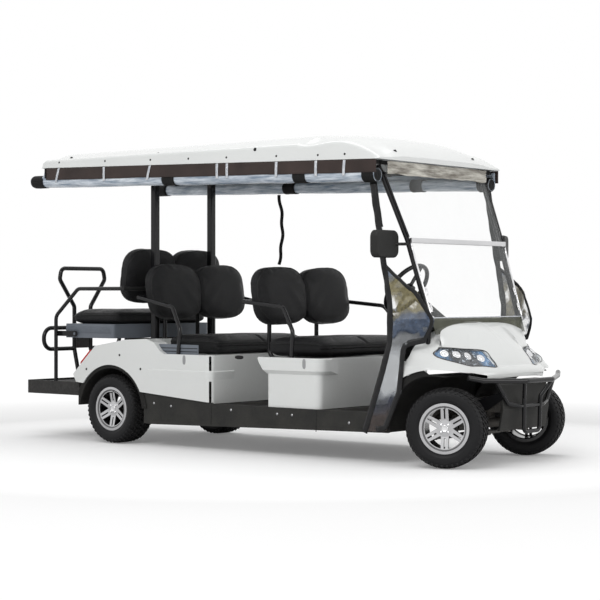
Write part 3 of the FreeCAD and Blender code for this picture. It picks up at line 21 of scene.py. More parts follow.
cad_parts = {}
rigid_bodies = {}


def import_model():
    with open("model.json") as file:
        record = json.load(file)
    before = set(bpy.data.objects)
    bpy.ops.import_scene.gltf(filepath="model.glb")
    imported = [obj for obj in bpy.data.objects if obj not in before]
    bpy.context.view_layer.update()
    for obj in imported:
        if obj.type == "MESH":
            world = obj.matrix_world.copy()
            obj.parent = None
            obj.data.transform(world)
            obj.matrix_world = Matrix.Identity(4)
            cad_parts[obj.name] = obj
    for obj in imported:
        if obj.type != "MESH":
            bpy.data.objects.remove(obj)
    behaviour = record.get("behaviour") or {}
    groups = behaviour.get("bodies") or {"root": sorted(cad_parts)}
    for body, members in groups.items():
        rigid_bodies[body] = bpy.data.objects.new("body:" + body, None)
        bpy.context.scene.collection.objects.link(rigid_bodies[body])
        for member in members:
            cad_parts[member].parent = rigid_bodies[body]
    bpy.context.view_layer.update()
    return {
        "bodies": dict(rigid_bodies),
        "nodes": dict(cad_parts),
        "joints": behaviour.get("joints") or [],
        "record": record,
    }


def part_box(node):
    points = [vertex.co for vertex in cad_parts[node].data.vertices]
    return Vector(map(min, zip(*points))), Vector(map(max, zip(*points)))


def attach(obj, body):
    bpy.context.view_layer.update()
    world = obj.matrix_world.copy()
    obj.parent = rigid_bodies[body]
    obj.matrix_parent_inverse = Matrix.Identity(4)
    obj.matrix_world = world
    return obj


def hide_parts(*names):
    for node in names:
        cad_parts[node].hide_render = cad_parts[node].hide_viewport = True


LOG = logging.getLogger("golf_cart")
FRONT_DATUM = 1.6225  # the X that setbacks are counted back from
COAT_ROUGHNESS = 0.06
Mesh, Piece, Node, Socket = bpy.types.Mesh, bpy.types.Object, bpy.types.Node, bpy.types.NodeSocket
Work = bmesh.types.BMesh
Colour = tuple[float, float, float]
Point = Sequence[float]
Grid = Sequence[Sequence[Point]]
Spot = tuple[Vector, Quaternion]
Hit = tuple[Vector, Vector]
SIDES = ((1, "left"), (-1, "right"))
DOWN = Vector((0, 0, -1))


# ---- shader groups
class Group(Enum):
    """The shader node groups that more than one finish uses."""

    PATCHES = "Patches"
    PEBBLE = "Pebble_grain"
    HIDE = "Hide_grain"
    ROAD_DUST = "Road_dust"
    CREASES = "Creases"


class Tree:
    """Short calls for building a node tree."""

    INPUTS = {"colour": "Base Color", "rough": "Roughness", "metal": "Metallic", "alpha": "Alpha", "normal": "Normal"}

    def __init__(self, tree: bpy.types.NodeTree) -> None:
        """Keep the tree that the calls add to, and its surface shader if it has one."""
        self.tree = tree
        self.shader = tree.nodes.get("Principled BSDF")

    def node(self, kind: str, **settings: object) -> Node:
        """Add a node with these properties.

        Args:
            kind: Its type, with or without the leading "ShaderNode".
            settings: Properties to set on it.

        Returns:
            The node.
        """
        item = self.tree.nodes.new(kind if kind.startswith("Node") else "ShaderNode" + kind)
        for key, value in settings.items():
            setattr(item, key, value)
        return item

    def feed(self, source: object, target: Socket) -> None:
        """Link a socket, or set a value where the source is a plain one.

        Args:
            source: A socket or a plain value.
            target: The socket that takes it.
        """
        if isinstance(source, Socket):
            self.tree.links.new(source, target)
        elif source is not None:
            target.default_value = source

    def chain(self, kind: str, *inputs: object, out: int | str = 0, **settings: object) -> Socket:
        """Add a node, feed its inputs in order and give one of its outputs.

        Args:
            kind: Its type.
            out: Which output.
            inputs: Values or sockets for its inputs, in order.
            settings: Properties to set on it.

        Returns:
            The output's socket.
        """
        item = self.node(kind, **settings)
        for value, socket in zip(inputs, item.inputs):
            self.feed(value, socket)
        return item.outputs[out]

    def texture(self, kind: str, out: int | str = 0, inputs: dict[str, object] | None = None,
                **settings: object) -> Socket:
        """Add a node, feed its inputs by name and give one of its outputs.

        Args:
            kind: Its type.
            out: Which output.
            inputs: Values or sockets for its inputs, by name.
            settings: Properties to set on it.

        Returns:
            The output's socket.
        """
        item = self.node(kind, **settings)
        for name, value in (inputs or {}).items():
            self.feed(value, item.inputs[name])
        return item.outputs[out]

    def maths(self, operation: str, first: object, second: object = None, clamp: bool = False) -> Socket:
        """One Math node on sockets or numbers."""
        return self.chain("Math", first, second, operation=operation, use_clamp=clamp)

    def times(self, first: object, second: object, clamp: bool = False) -> Socket:
        """A product."""
        return self.maths("MULTIPLY", first, second, clamp)

    def plus(self, first: object, second: object, clamp: bool = False) -> Socket:
        """A sum."""
        return self.maths("ADD", first, second, clamp)

    def larger(self, first: object, second: object) -> Socket:
        """The larger of two values."""
        return self.maths("MAXIMUM", first, second)

    def vector(self, operation: str, first: object, second: object = None) -> Socket:
        """One VectorMath node, and its value where it gives a single number."""
        out = "Value" if operation in ("DOT_PRODUCT", "LENGTH") else "Vector"
        return self.chain("VectorMath", first, second, out=out, operation=operation)

    def ramp(self, value: object, low: float, high: float, start: float = 0.0, end: float = 1.0) -> Socket:
        """Map a value from one range onto another, held at its ends."""
        return self.chain("MapRange", value, low, high, start, end)

    def blend(self, share: object, first: object, second: object) -> Socket:
        """Mix two colours by a share."""
        first, second = ((*colour, 1.0) if isinstance(colour, tuple) else colour for colour in (first, second))
        return self.chain("Mix", share, None, None, None, None, None, first, second, out=2, data_type="RGBA")

    def noise(self, where: object, scale: object, detail: float = 3.0, roughness: float = 0.5) -> Socket:
        """A noise texture's value."""
        return self.texture("TexNoise", inputs={"Vector": where, "Scale": scale, "Detail": detail,
                                                "Roughness": roughness})

    def place(self) -> Socket:
        """The object's own coordinates."""
        return self.node("TexCoord").outputs["Object"]

    def split(self, where: Socket, axis: int) -> Socket:
        """One coordinate of a place: 1 for Y, 2 for Z."""
        return self.chain("SeparateXYZ", where, out=axis)

    def shade(self, colour: object, value: Socket) -> Socket:
        """A colour scaled by a value."""
        return self.texture("VectorMath", inputs={"Vector": colour, "Scale": value}, operation="SCALE")

    def stretched(self, where: Socket, scale: Point) -> Socket:
        """A place scaled along its axes."""
        return self.texture("Mapping", inputs={"Vector": where, "Scale": scale})

    def group(self, kind: Group, **values: float) -> Node:
        """Place a shader group, with its inputs by name.

        Args:
            kind: The group.
            values: Its inputs, by name.

        Returns:
            The group's node.
        """
        if kind.value not in bpy.data.node_groups:
            GROUP_BUILDERS[kind]()
        item = self.node("Group")
        item.node_tree = bpy.data.node_groups[kind.value]
        for name, value in values.items():
            item.inputs[name].default_value = value
        return item

    def patches(self, scale: float) -> Socket:
        """Soft patches of unevenness."""
        return self.group(Group.PATCHES, Scale=scale).outputs[0]

    def wire(self, **inputs: object) -> None:
        """Feed the surface shader: colour, rough, metal, alpha or normal."""
        for name, value in inputs.items():
            self.feed(value, self.shader.inputs[self.INPUTS[name]])

    def fed(self, name: str) -> Socket:
        """What feeds the surface shader's input so far."""
        return self.shader.inputs[self.INPUTS[name]].links[0].from_socket

    def bump(self, height: Socket, distance: float) -> None:
        """Wire a relief into the surface shader."""
        self.wire(normal=self.texture("Bump", inputs={"Distance": distance, "Height": height}))


def start_group(kind: Group, inputs: dict[str, float], outputs: Sequence[str]) -> tuple[Tree, Node, Node]:
    """An empty shader group with number sockets, and its input and output nodes.

    Args:
        kind: Which group.
        inputs: Its inputs and their defaults.
        outputs: The names of its outputs.

    Returns:
        The group's tree, and its input and output nodes.
    """
    tree = bpy.data.node_groups.new(kind.value, "ShaderNodeTree")
    for name, value in inputs.items():
        tree.interface.new_socket(name, in_out="INPUT", socket_type="NodeSocketFloat").default_value = value
    for name in outputs:
        tree.interface.new_socket(name, in_out="OUTPUT", socket_type="NodeSocketFloat")
    build = Tree(tree)
    return build, build.node("NodeGroupInput"), build.node("NodeGroupOutput")


def build_patches() -> None:
    """Soft patches of unevenness: Scale in, Value out."""
    build, start, end = start_group(Group.PATCHES, {"Scale": 6.0}, ["Value"])
    cloud = build.noise(build.place(), start.outputs["Scale"], 5.0)
    build.feed(build.ramp(cloud, 0.32, 0.68), end.inputs["Value"])


def build_pebble() -> None:
    """Moulded pebble grain: Scale in, Height out."""
    build, start, end = start_group(Group.PEBBLE, {"Scale": 400.0}, ["Height"])
    cells = build.texture("TexVoronoi", "Distance", {"Vector": build.place(), "Scale": start.outputs["Scale"]},
                          feature="SMOOTH_F1")
    build.feed(build.maths("SUBTRACT", 1.0, cells), end.inputs["Height"])


def build_hide() -> None:
    """The grain of grained vinyl, small cells crossed by finer wrinkles: Scale in, Height out."""
    build, start, end = start_group(Group.HIDE, {"Scale": 420.0}, ["Height"])
    scale = start.outputs["Scale"]
    cells = build.texture("TexVoronoi", "Distance", {"Vector": build.place(), "Scale": scale},
                          feature="DISTANCE_TO_EDGE")
    fine = build.texture("TexNoise", inputs={"Vector": build.place(), "Scale": build.times(scale, 1.7)})
    build.feed(build.plus(build.ramp(cells, 0.0, 0.16), build.times(fine, 0.5)), end.inputs["Height"])


def build_dust() -> None:
    """Road dust that thins out with height: Amount and Top in, Mask out."""
    build, start, end = start_group(Group.ROAD_DUST, {"Amount": 0.3, "Top": 0.5}, ["Mask"])
    where = build.place()
    share = build.maths("DIVIDE", build.split(where, 2), start.outputs["Top"])
    low = build.maths("SUBTRACT", 1.0, share, clamp=True)
    cloud = build.ramp(build.noise(where, 9.0, 6.0, 0.6), 0.35, 0.75)
    speck = build.ramp(build.noise(where, 160.0, 2.0), 0.45, 0.8)
    mask = build.times(low, build.plus(cloud, build.times(speck, 0.6)))
    build.feed(build.times(mask, start.outputs["Amount"], clamp=True), end.inputs["Mask"])


def build_creases() -> None:
    """Long soft creases of hanging film: Scale in, Height and Lines out."""
    build, start, end = start_group(Group.CREASES, {"Scale": 7.0}, ["Height", "Lines"])
    folds = build.texture("TexNoise", inputs={
        "Vector": build.stretched(build.place(), (1.0, 1.0, 0.45)), "Scale": start.outputs["Scale"],
        "Detail": 3.0, "Distortion": 0.6}, noise_type="RIDGED_MULTIFRACTAL")
    build.feed(folds, end.inputs["Height"])
    build.feed(build.ramp(folds, 0.72, 1.05), end.inputs["Lines"])


GROUP_BUILDERS: dict[Group, Callable[[], None]] = {
    Group.PATCHES: build_patches, Group.PEBBLE: build_pebble, Group.HIDE: build_hide,
    Group.ROAD_DUST: build_dust, Group.CREASES: build_creases,
}


# ---- finishes
def darker(colour: Colour, share: float) -> Colour:
    """A colour with every channel scaled down."""
    return tuple(channel * share for channel in colour)


class Grain(Enum):
    """The fine relief of a surface."""

    SMOOTH = "smooth"
    PEBBLE = "pebble"
    HIDE = "hide"


@dataclass(frozen=True)
class Finish:
    """An opaque finish: colour with soft patches, grain, a clear coat and road dust low down."""

    name: str
    colour: Colour
    roughness: float = 0.4
    metallic: float = 0.0
    coat: float = 0.0
    grain: Grain = Grain.SMOOTH
    grain_scale: float = 400.0
    grain_depth: float = 0.0
    patch_scale: float = 5.0
    patch: float = 0.12
    dust: float = 0.0
    dust_top: float = 0.6
    dust_colour: Colour = (0.30, 0.27, 0.23)
    sheen: float = 0.0
    specular: float = 0.5

    def material(self) -> bpy.types.Material:
        """The finish's material, made the first time it is asked for.

        Returns:
            The material.
        """
        if self.name in bpy.data.materials:
            return bpy.data.materials[self.name]
        material = bpy.data.materials.new(self.name)
        material.use_nodes = True
        build = Tree(material.node_tree)
        for name, value in (("Metallic", self.metallic), ("Coat Weight", self.coat), ("Sheen Weight", self.sheen),
                            ("Coat Roughness", COAT_ROUGHNESS), ("Specular IOR Level", self.specular)):
            build.shader.inputs[name].default_value = value
        self.paint(build)
        return material

    def paint(self, build: Tree) -> None:
        """Wire the colour, roughness and relief.

        Args:
            build: The material's tree.
        """
        patches = build.patches(self.patch_scale)
        colour = build.blend(patches, darker(self.colour, 1.0 - self.patch), self.colour)
        rough = build.ramp(patches, 0.0, 1.0, self.roughness * 0.88, self.roughness * 1.12)
        if self.dust > 0:
            dust = build.group(Group.ROAD_DUST, Amount=self.dust, Top=self.dust_top).outputs[0]
            colour = build.blend(dust, colour, self.dust_colour)
            rough = build.plus(rough, build.times(dust, 0.4), clamp=True)
        build.wire(colour=colour, rough=rough)
        if self.grain_depth > 0:
            if self.grain is Grain.SMOOTH:
                height = build.noise(build.place(), self.grain_scale, 2.0)
            else:
                kind = Group.PEBBLE if self.grain is Grain.PEBBLE else Group.HIDE
                height = build.group(kind, Scale=self.grain_scale).outputs[0]
            build.bump(height, self.grain_depth)


@dataclass(frozen=True)
class ClearFinish(Finish):
    """Clear sheet or lens: see-through, with creases, smears and a little tint."""

    clear: float = 0.9
    crease_scale: float = 6.0
    crease_depth: float = 0.0
    haze: float = 0.05
    haze_colour: Colour = (0.8, 0.84, 0.9)

    def paint(self, build: Tree) -> None:
        """Wire alpha, haze lines and creases.

        Args:
            build: The material's tree.
        """
        creases = build.group(Group.CREASES, Scale=self.crease_scale).outputs
        cover = build.times(build.patches(self.patch_scale), self.haze)
        lines = build.times(creases["Lines"], self.haze * 3.0)
        build.wire(colour=build.blend(creases["Lines"], self.colour, self.haze_colour), rough=self.roughness,
                   alpha=build.plus(1.0 - self.clear, build.plus(cover, lines), clamp=True))
        if self.crease_depth > 0:
            build.bump(creases["Height"], self.crease_depth)


@dataclass(frozen=True)
class WheelFinish(Finish):
    """A finish that knows its wheel's centre and outboard axis."""

    centre: Point = (0.0, 0.0, 0.0)
    axis: Point = (0.0, 1.0, 0.0)


@dataclass(frozen=True)
class RimFinish(WheelFinish):
    """A machined alloy wheel: bright faces outboard, black paint in the pockets and the barrel."""

    face: float = 0.06
    bright: Colour = (0.52, 0.52, 0.53)

    def paint(self, build: Tree) -> None:
        """Wire the machined mask into colour, metal and roughness.

        Args:
            build: The material's tree.
        """
        place = build.node("TexCoord").outputs
        side = build.vector("DOT_PRODUCT", place["Normal"], self.axis)
        depth = build.vector("DOT_PRODUCT", build.vector("SUBTRACT", place["Object"], self.centre), self.axis)
        proud = build.ramp(depth, self.face - 0.004, self.face - 0.001)
        mask = build.times(build.ramp(side, 0.80, 0.90), proud, clamp=True)
        spin = build.ramp(build.noise(build.place(), 700.0, 2.0), 0.3, 0.7, 0.82, 1.0)
        shine = build.blend(spin, darker(self.bright, 0.85), self.bright)
        build.wire(colour=build.blend(mask, self.colour, shine), metal=mask,
                   rough=build.ramp(mask, 0.0, 1.0, self.roughness, 0.24))


@dataclass(frozen=True)
class TyreFinish(WheelFinish):
    """Tyre rubber with moulded rings on its side walls and dry dust on the tread."""

    def paint(self, build: Tree) -> None:
        """Wire dust by distance from the axle and rings into the bump.

        Args:
            build: The material's tree.
        """
        across = build.vector("CROSS_PRODUCT", build.vector("SUBTRACT", build.place(), self.centre), self.axis)
        radius = build.vector("LENGTH", across)
        cloud = build.ramp(build.noise(build.place(), 22.0, 6.0, 0.65), 0.35, 0.8)
        dusty = build.times(build.ramp(radius, 0.212, 0.228), cloud, clamp=True)
        rubber = build.blend(build.patches(self.patch_scale), darker(self.colour, 0.8), self.colour)
        build.wire(colour=build.blend(build.times(dusty, 0.55), rubber, (0.034, 0.032, 0.030)),
                   rough=build.ramp(dusty, 0.0, 1.0, self.roughness, 0.85))
        rings = build.maths("SINE", build.times(radius, 900.0))
        band = build.times(build.ramp(radius, 0.186, 0.190), build.ramp(radius, 0.204, 0.200))
        fine = build.noise(build.place(), 900.0, 2.0)
        build.bump(build.plus(build.times(rings, band), build.times(fine, 0.3)), 0.0005)


@dataclass(frozen=True)
class StreakFinish(Finish):
    """Folded or rolled film: painted highlights in streaks that run along it over its base colour, under a wrinkled
    gloss.
    """

    # light: the colour of the painted highlight, reflection streaks along the folds
    light: Colour = (0.80, 0.84, 0.88)
    stretch: Point = (0.10, 1.0, 1.0)
    streak_scale: float = 60.0

    def paint(self, build: Tree) -> None:
        """Wire the painted highlight streaks into colour, roughness and relief.

        Args:
            build: The material's tree.
        """
        along = build.stretched(build.place(), self.stretch)
        streak = build.ramp(build.noise(along, self.streak_scale, 4.0, 0.62), 0.36, 0.64)
        share = build.times(streak, build.ramp(build.patches(self.patch_scale), 0.0, 1.0, 0.5, 1.0))
        # Painted highlight: the base colour is blended towards the light colour along the streaks.
        build.wire(colour=build.blend(share, self.colour, self.light),
                   rough=build.ramp(share, 0.0, 1.0, self.roughness, self.roughness * 1.6))
        build.bump(share, self.grain_depth)


@dataclass(frozen=True)
class ReflectionPaintedFilm(ClearFinish):
    """Clear film with painted reflections of blue sky and dry grass in bands; it turns brown at its foot."""

    sky: Colour = (0.085, 0.115, 0.175)
    grass: Colour = (0.245, 0.215, 0.115)
    brown: Colour = (0.050, 0.036, 0.032)
    # tint: how strongly the painted sky and grass reflections cover the film
    tint: float = 0.74

    def paint(self, build: Tree) -> None:
        """Wire the painted reflection bands over the clear film's own haze and creases.

        Args:
            build: The material's tree.
        """
        super().paint(build)
        where = build.place()
        level = build.split(where, 2)
        height = build.plus(level, build.ramp(build.noise(where, 5.5), 0.25, 0.75, -0.07, 0.07))
        band = build.times(build.ramp(height, 0.72, 0.77), build.ramp(height, 1.24, 1.19))
        sky = build.larger(build.ramp(height, 1.08, 1.12), build.ramp(height, 0.90, 0.87))
        foot = build.ramp(height, 0.44, 0.30)
        patch = build.ramp(build.noise(where, 8.0, 3.0, 0.55), 0.36, 0.48)
        mottle = build.ramp(build.noise(where, 26.0, 4.0, 0.6), 0.3, 0.7, 0.50, 1.35)
        # mask: the painted sky and grass reflections in bands, and the brown foot
        mask = build.larger(build.times(build.times(band, patch), self.tint), build.times(foot, 0.82))
        mirrored = build.shade(build.blend(foot, build.blend(sky, self.grass, self.sky), self.brown), mottle)
        leg = build.larger(mask, build.ramp(level, 0.74, 0.66, 0.0, 0.34))
        build.wire(colour=build.blend(build.ramp(mask, 0.0, 0.3), build.fed("colour"), mirrored),
                   alpha=build.larger(build.fed("alpha"), leg))


@dataclass(frozen=True)
class PaneFinish(ClearFinish):
    """A windshield pane, with an olive strip of film along its foot and painted shade along the crinkles above it."""

    strip_top: float = 0.856
    strip: Colour = (0.10, 0.105, 0.065)
    strip_cover: float = 0.52
    # The dark crinkle colour is painted shade along the film's creases.
    crease_shade: Colour = (0.10, 0.10, 0.085)

    def paint(self, build: Tree) -> None:
        """Wire the strip and the painted crease shade over the clear pane.

        Args:
            build: The material's tree.
        """
        super().paint(build)
        where = build.place()
        level = build.split(where, 2)
        low = build.ramp(level, self.strip_top + 0.001, self.strip_top - 0.001)
        smear = build.ramp(build.noise(where, 14.0, 4.0, 0.6), 0.3, 0.7, 0.55, 1.3)
        colour = build.blend(low, build.fed("colour"), build.shade(self.strip, smear))
        lines = build.group(Group.CREASES, Scale=7.0).outputs["Lines"]
        # Painted shade: dark lines along the creases, fading out higher up the pane.
        crease_shade = build.times(lines, build.ramp(level, 1.08, 0.88, 0.0, 0.42))
        shown = build.times(crease_shade, build.ramp(build.noise(where, 3.0), 0.42, 0.62))
        cover = build.larger(build.times(low, self.strip_cover), shown)
        build.wire(colour=build.blend(build.ramp(shown, 0.0, 0.2), colour, self.crease_shade),
                   alpha=build.larger(build.fed("alpha"), cover))


@dataclass(frozen=True)
class LampFinish(Finish):
    """The inside of a headlamp: black, with sky-blue reflections towards its ends."""

    blue: Colour = (0.10, 0.26, 0.50)
    glint: Colour = (0.62, 0.70, 0.78)
    middle: float = 0.37

    def paint(self, build: Tree) -> None:
        """Wire the reflections by the distance from the lamp's middle.

        Args:
            build: The material's tree.
        """
        where = build.place()
        out = build.maths("SUBTRACT", build.maths("ABSOLUTE", build.split(where, 1)), self.middle)
        ends = build.ramp(build.maths("ABSOLUTE", out), 0.075, 0.12)
        mottle = build.ramp(build.noise(where, 34.0, 3.0, 0.6), 0.42, 0.58)
        glint = build.ramp(build.noise(where, 60.0, 2.0), 0.60, 0.66)
        share = build.times(ends, build.ramp(mottle, 0.0, 1.0, 0.35, 1.0))
        tinted = build.blend(share, self.colour, self.blue)
        build.wire(colour=build.blend(build.times(glint, 0.8), tinted, self.glint), rough=self.roughness)


WHITE_SHELL = Finish("White_gelcoat", (0.76, 0.775, 0.765), 0.22, coat=0.45, grain_scale=55.0, grain_depth=0.0006,
                     patch_scale=2.2, patch=0.04, dust=0.16, dust_top=0.75, dust_colour=(0.52, 0.49, 0.44))
SILL_BLACK = Finish("Moulded_black", (0.024, 0.024, 0.023), 0.55, grain=Grain.PEBBLE, grain_scale=420.0,
                    grain_depth=0.0006, patch=0.25, dust=0.22, dust_top=0.55, dust_colour=(0.15, 0.14, 0.12),
                    specular=0.2)
STEP_BLACK = Finish("Speckled_step", (0.035, 0.035, 0.035), 0.6, grain=Grain.PEBBLE, grain_scale=150.0,
                    grain_depth=0.0012, patch_scale=60.0, patch=0.55, dust=0.3, dust_top=0.9,
                    dust_colour=(0.13, 0.12, 0.11), specular=0.2)
TUBE_BLACK = Finish("Powder_coat_black", (0.010, 0.010, 0.011), 0.22, coat=0.22, grain_scale=300.0,
                    grain_depth=0.0003, patch=0.1, specular=0.2)
CHASSIS_BLACK = Finish("Chassis_paint", (0.022, 0.022, 0.022), 0.5, grain_scale=90.0, grain_depth=0.0005,
                       patch=0.3, dust=0.5, dust_top=0.6, specular=0.2)
LINER_BLACK = Finish("Liner_plastic", (0.012, 0.012, 0.012), 0.75, grain=Grain.PEBBLE, grain_scale=260.0,
                     grain_depth=0.0008, patch=0.3, dust=0.35, dust_top=0.7, dust_colour=(0.09, 0.085, 0.075),
                     specular=0.2)
SEAT_VINYL = Finish("Cushion_vinyl", (0.0125, 0.0125, 0.0135), 0.42, grain=Grain.HIDE, grain_scale=520.0,
                    grain_depth=0.0004, patch_scale=7.0, patch=0.25, sheen=0.02, specular=0.16)
PIPING = Finish("Cushion_piping", (0.012, 0.012, 0.012), 0.34, grain_scale=500.0, grain_depth=0.0002,
                specular=0.2)
THREAD = Finish("Cushion_thread", (0.05, 0.05, 0.052), 0.7, grain_scale=2500.0, grain_depth=0.0002, specular=0.2)
DECK_GREY = Finish("Deck_grey", (0.165, 0.185, 0.215), 0.5, grain=Grain.PEBBLE, grain_scale=300.0,
                   grain_depth=0.0006, patch=0.16, specular=0.3)
CAST_GREY = Finish("Cast_metal", (0.20, 0.20, 0.20), 0.5, metallic=0.8, grain_scale=220.0, grain_depth=0.0006,
                   patch=0.3, dust=0.5, dust_top=0.5)
BATTERY = Finish("Battery_case", (0.05, 0.05, 0.055), 0.5, grain=Grain.PEBBLE, grain_scale=300.0,
                 grain_depth=0.0004, specular=0.2)
FLOOR_MAT = Finish("Ribbed_mat", (0.018, 0.018, 0.018), 0.7, grain=Grain.PEBBLE, grain_scale=500.0,
                   grain_depth=0.0005, patch=0.3, dust=0.35, dust_top=0.7, dust_colour=(0.12, 0.11, 0.09),
                   specular=0.2)
STAINLESS = Finish("Bright_rail", (0.72, 0.72, 0.73), 0.2, metallic=1.0, grain_depth=0.0002, patch=0.1)
SCREW_STEEL = Finish("Screw_steel", (0.42, 0.42, 0.43), 0.32, metallic=1.0, grain_scale=900.0, grain_depth=0.0001)
SCREW_BLACK = Finish("Screw_black", (0.018, 0.018, 0.018), 0.4, metallic=0.3, grain_scale=900.0,
                     grain_depth=0.0001, specular=0.2)
CHROME = Finish("Chrome", (0.83, 0.83, 0.84), 0.08, metallic=1.0, patch=0.05)
BAND_BLACK = Finish("Webbing_black", (0.010, 0.010, 0.010), 0.7, grain_scale=700.0, grain_depth=0.0006,
                    patch=0.3, specular=0.2)
BROWN_BAND = Finish("Roof_valance", (0.050, 0.034, 0.030), 0.42, grain_scale=120.0, grain_depth=0.0006,
                    patch=0.45, specular=0.25)
# The light colours of the three film finishes are painted highlights: reflections streaked along the folds.
ROLL_FILM = StreakFinish("Rolled_film", (0.20, 0.26, 0.34), 0.14, coat=0.5, grain_depth=0.0022, patch_scale=7.0,
                         light=(0.80, 0.86, 0.92), specular=0.7)
STAY_FILM = StreakFinish("Stay_film", (0.42, 0.45, 0.50), 0.2, coat=0.3, grain_depth=0.0008, patch_scale=30.0,
                         light=(0.85, 0.86, 0.88), stretch=(1.0, 1.0, 0.4), streak_scale=150.0)
CREAM_FILM = StreakFinish("Cream_film", (0.16, 0.14, 0.11), 0.12, coat=0.5, grain_depth=0.0025, patch_scale=6.0,
                          light=(0.74, 0.72, 0.64), stretch=(1.0, 0.14, 1.0), streak_scale=42.0)
# The curtain film's sky and grass colours are painted reflections.
CURTAIN_FILM = ReflectionPaintedFilm("Curtain_film", (0.74, 0.77, 0.80), 0.06, clear=0.88, crease_scale=9.0,
                          crease_depth=0.010, haze=0.10)
HEM_BLACK = Finish("Hem_black", (0.014, 0.014, 0.015), 0.32, coat=0.15, grain_scale=160.0, grain_depth=0.0012,
                   patch_scale=24.0, patch=0.5, specular=0.2)
FOOT_PANE = PaneFinish("Foot_pane", (0.86, 0.89, 0.89), 0.03, clear=0.955, crease_scale=3.0, haze=0.03)
CLEAR_PANE = ClearFinish("Clear_pane", (0.86, 0.89, 0.89), 0.03, clear=0.955, crease_scale=3.0, haze=0.03)
LAMP_LENS = ClearFinish("Lamp_lens", (0.85, 0.9, 0.95), 0.02, clear=0.93, crease_scale=2.0, haze=0.02)
LAMP_BLACK = Finish("Lamp_bezel", (0.006, 0.006, 0.007), 0.12, coat=0.6, patch=0.05)
LAMP_INSIDE = LampFinish("Lamp_inside", (0.008, 0.009, 0.011), 0.15)
# Grey painted shade of the slots under the arm rails' feet.
SLOT_SHADE_GREY = Finish("Slot_shade_grey", (0.33, 0.335, 0.34), 0.4, grain_scale=300.0, grain_depth=0.0003)
RED_LENS = Finish("Red_lens", (0.50, 0.012, 0.010), 0.12, coat=0.6, grain_scale=180.0, grain_depth=0.0012,
                  patch=0.3)
MIRROR_GLASS = Finish("Mirror_glass", (0.75, 0.78, 0.8), 0.03, metallic=1.0, patch=0.03)

NODE_FINISHES: dict[str, Finish] = {node: finish for finish, nodes in (
    (WHITE_SHELL, "roof_shell front_cowl front_seat_pod rear_body"),
    (SILL_BLACK, "side_skirts lower_fascia dashboard mirrors pedals steering_column"),
    (LINER_BLACK, "wheel_liners"),
    (STEP_BLACK, "rear_step"),
    (TUBE_BLACK, "arm_rails backrest_frames brush_guard rear_grab_bar rear_roof_posts windshield_struts "
                 "steering_wheel"),
    (CHASSIS_BLACK, "chassis_frame front_axle_beam rear_axle leaf_springs rear_seat_base roof_frame"),
    (CAST_GREY, "drive_motor knuckle_left knuckle_right rack_housing steering_rack"),
    (BATTERY, "battery_pack"),
    (DECK_GREY, "flip_deck"),
    (FLOOR_MAT, "floor_pan"),
    (STAINLESS, "windshield_rail"),
    (LAMP_LENS, "headlights"),
    (RED_LENS, "tail_lights"),
    (FOOT_PANE, "windshield_lower"),
    (CLEAR_PANE, "windshield_upper"),
) for node in nodes.split()}


# ---- mesh helpers
def at_setback(setback: float) -> float:
    """The X of a setback behind the front datum."""
    return FRONT_DATUM - setback


def soft_noise(*place: float) -> float:
    """Smooth noise from -1 to 1 at a place of up to three numbers."""
    return noise.noise(Vector((*place, 0.0, 0.0)[:3]))


def shown(name: str, data: bpy.types.ID | None) -> Piece:
    """Put an object in the scene.

    Args:
        name: Its name.
        data: What it shows.

    Returns:
        The object.
    """
    item = bpy.data.objects.new(name, data)
    bpy.context.scene.collection.objects.link(item)
    return item


def mesh_of(work: Work) -> Mesh:
    """What bmesh holds, as a mesh; the bmesh is freed.

    Args:
        work: The bmesh.

    Returns:
        The mesh.
    """
    mesh = bpy.data.meshes.new("Shape")
    work.to_mesh(mesh)
    work.free()
    return mesh


def add_piece(name: str, mesh: Mesh, finish: Finish, smooth: bool = True) -> Piece:
    """Put a mesh in the scene as a piece with its finish.

    Args:
        name: Its name.
        mesh: Its mesh, in place.
        finish: Its finish.
        smooth: Whether it is shaded smooth.

    Returns:
        The piece.
    """
    mesh.name = name
    mesh.materials.clear()
    mesh.materials.append(finish.material())
    for face in mesh.polygons:
        face.use_smooth = smooth
        face.material_index = 0
    LOG.info("piece %s", name)
    return shown(name, mesh)


def ride_on(piece: Piece, body: str = "chassis") -> Piece:
    """Fix a piece to a body.

    Args:
        piece: The piece.
        body: The body it rides on.

    Returns:
        The same piece.
    """
    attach(piece, body)
    return piece


def put(name: str, mesh: Mesh, finish: Finish, body: str = "chassis", smooth: bool = True) -> Piece:
    """Put a mesh in the scene as a piece that rides on a body."""
    return ride_on(add_piece(name, mesh, finish, smooth), body)


@contextmanager
def reworked(mesh: Mesh) -> Iterator[Work]:
    """A mesh opened for bmesh operations, and written back with its normals outward.

    Args:
        mesh: The mesh.

    Returns:
        The opened mesh.
    """
    work = bmesh.new()
    work.from_mesh(mesh)
    yield work
    bmesh.ops.recalc_face_normals(work, faces=work.faces)
    work.to_mesh(mesh)
    work.free()


def bevel_edges(work: Work, offset: float, segments: int, **options: bool) -> None:
    """Round every edge."""
    bmesh.ops.bevel(work, geom=work.edges[:], offset=offset, segments=segments, profile=0.6, affect="EDGES", **options)


def grid_faces(rows: int, columns: int, loop_rows: bool = False, loop_columns: bool = True) -> list[Sequence[int]]:
    """Quads over rows of points, closed on themselves either way or both.

    Args:
        rows: How many rows.
        columns: How many points in a row.
        loop_rows: Whether the last row joins the first.
        loop_columns: Whether each row is a ring.

    Returns:
        The quads, as rows of point numbers.
    """
    return [(row * columns + step, row * columns + (step + 1) % columns,
             (row + 1) % rows * columns + (step + 1) % columns, (row + 1) % rows * columns + step)
            for row in range(rows if loop_rows else rows - 1)
            for step in range(columns if loop_columns else columns - 1)]


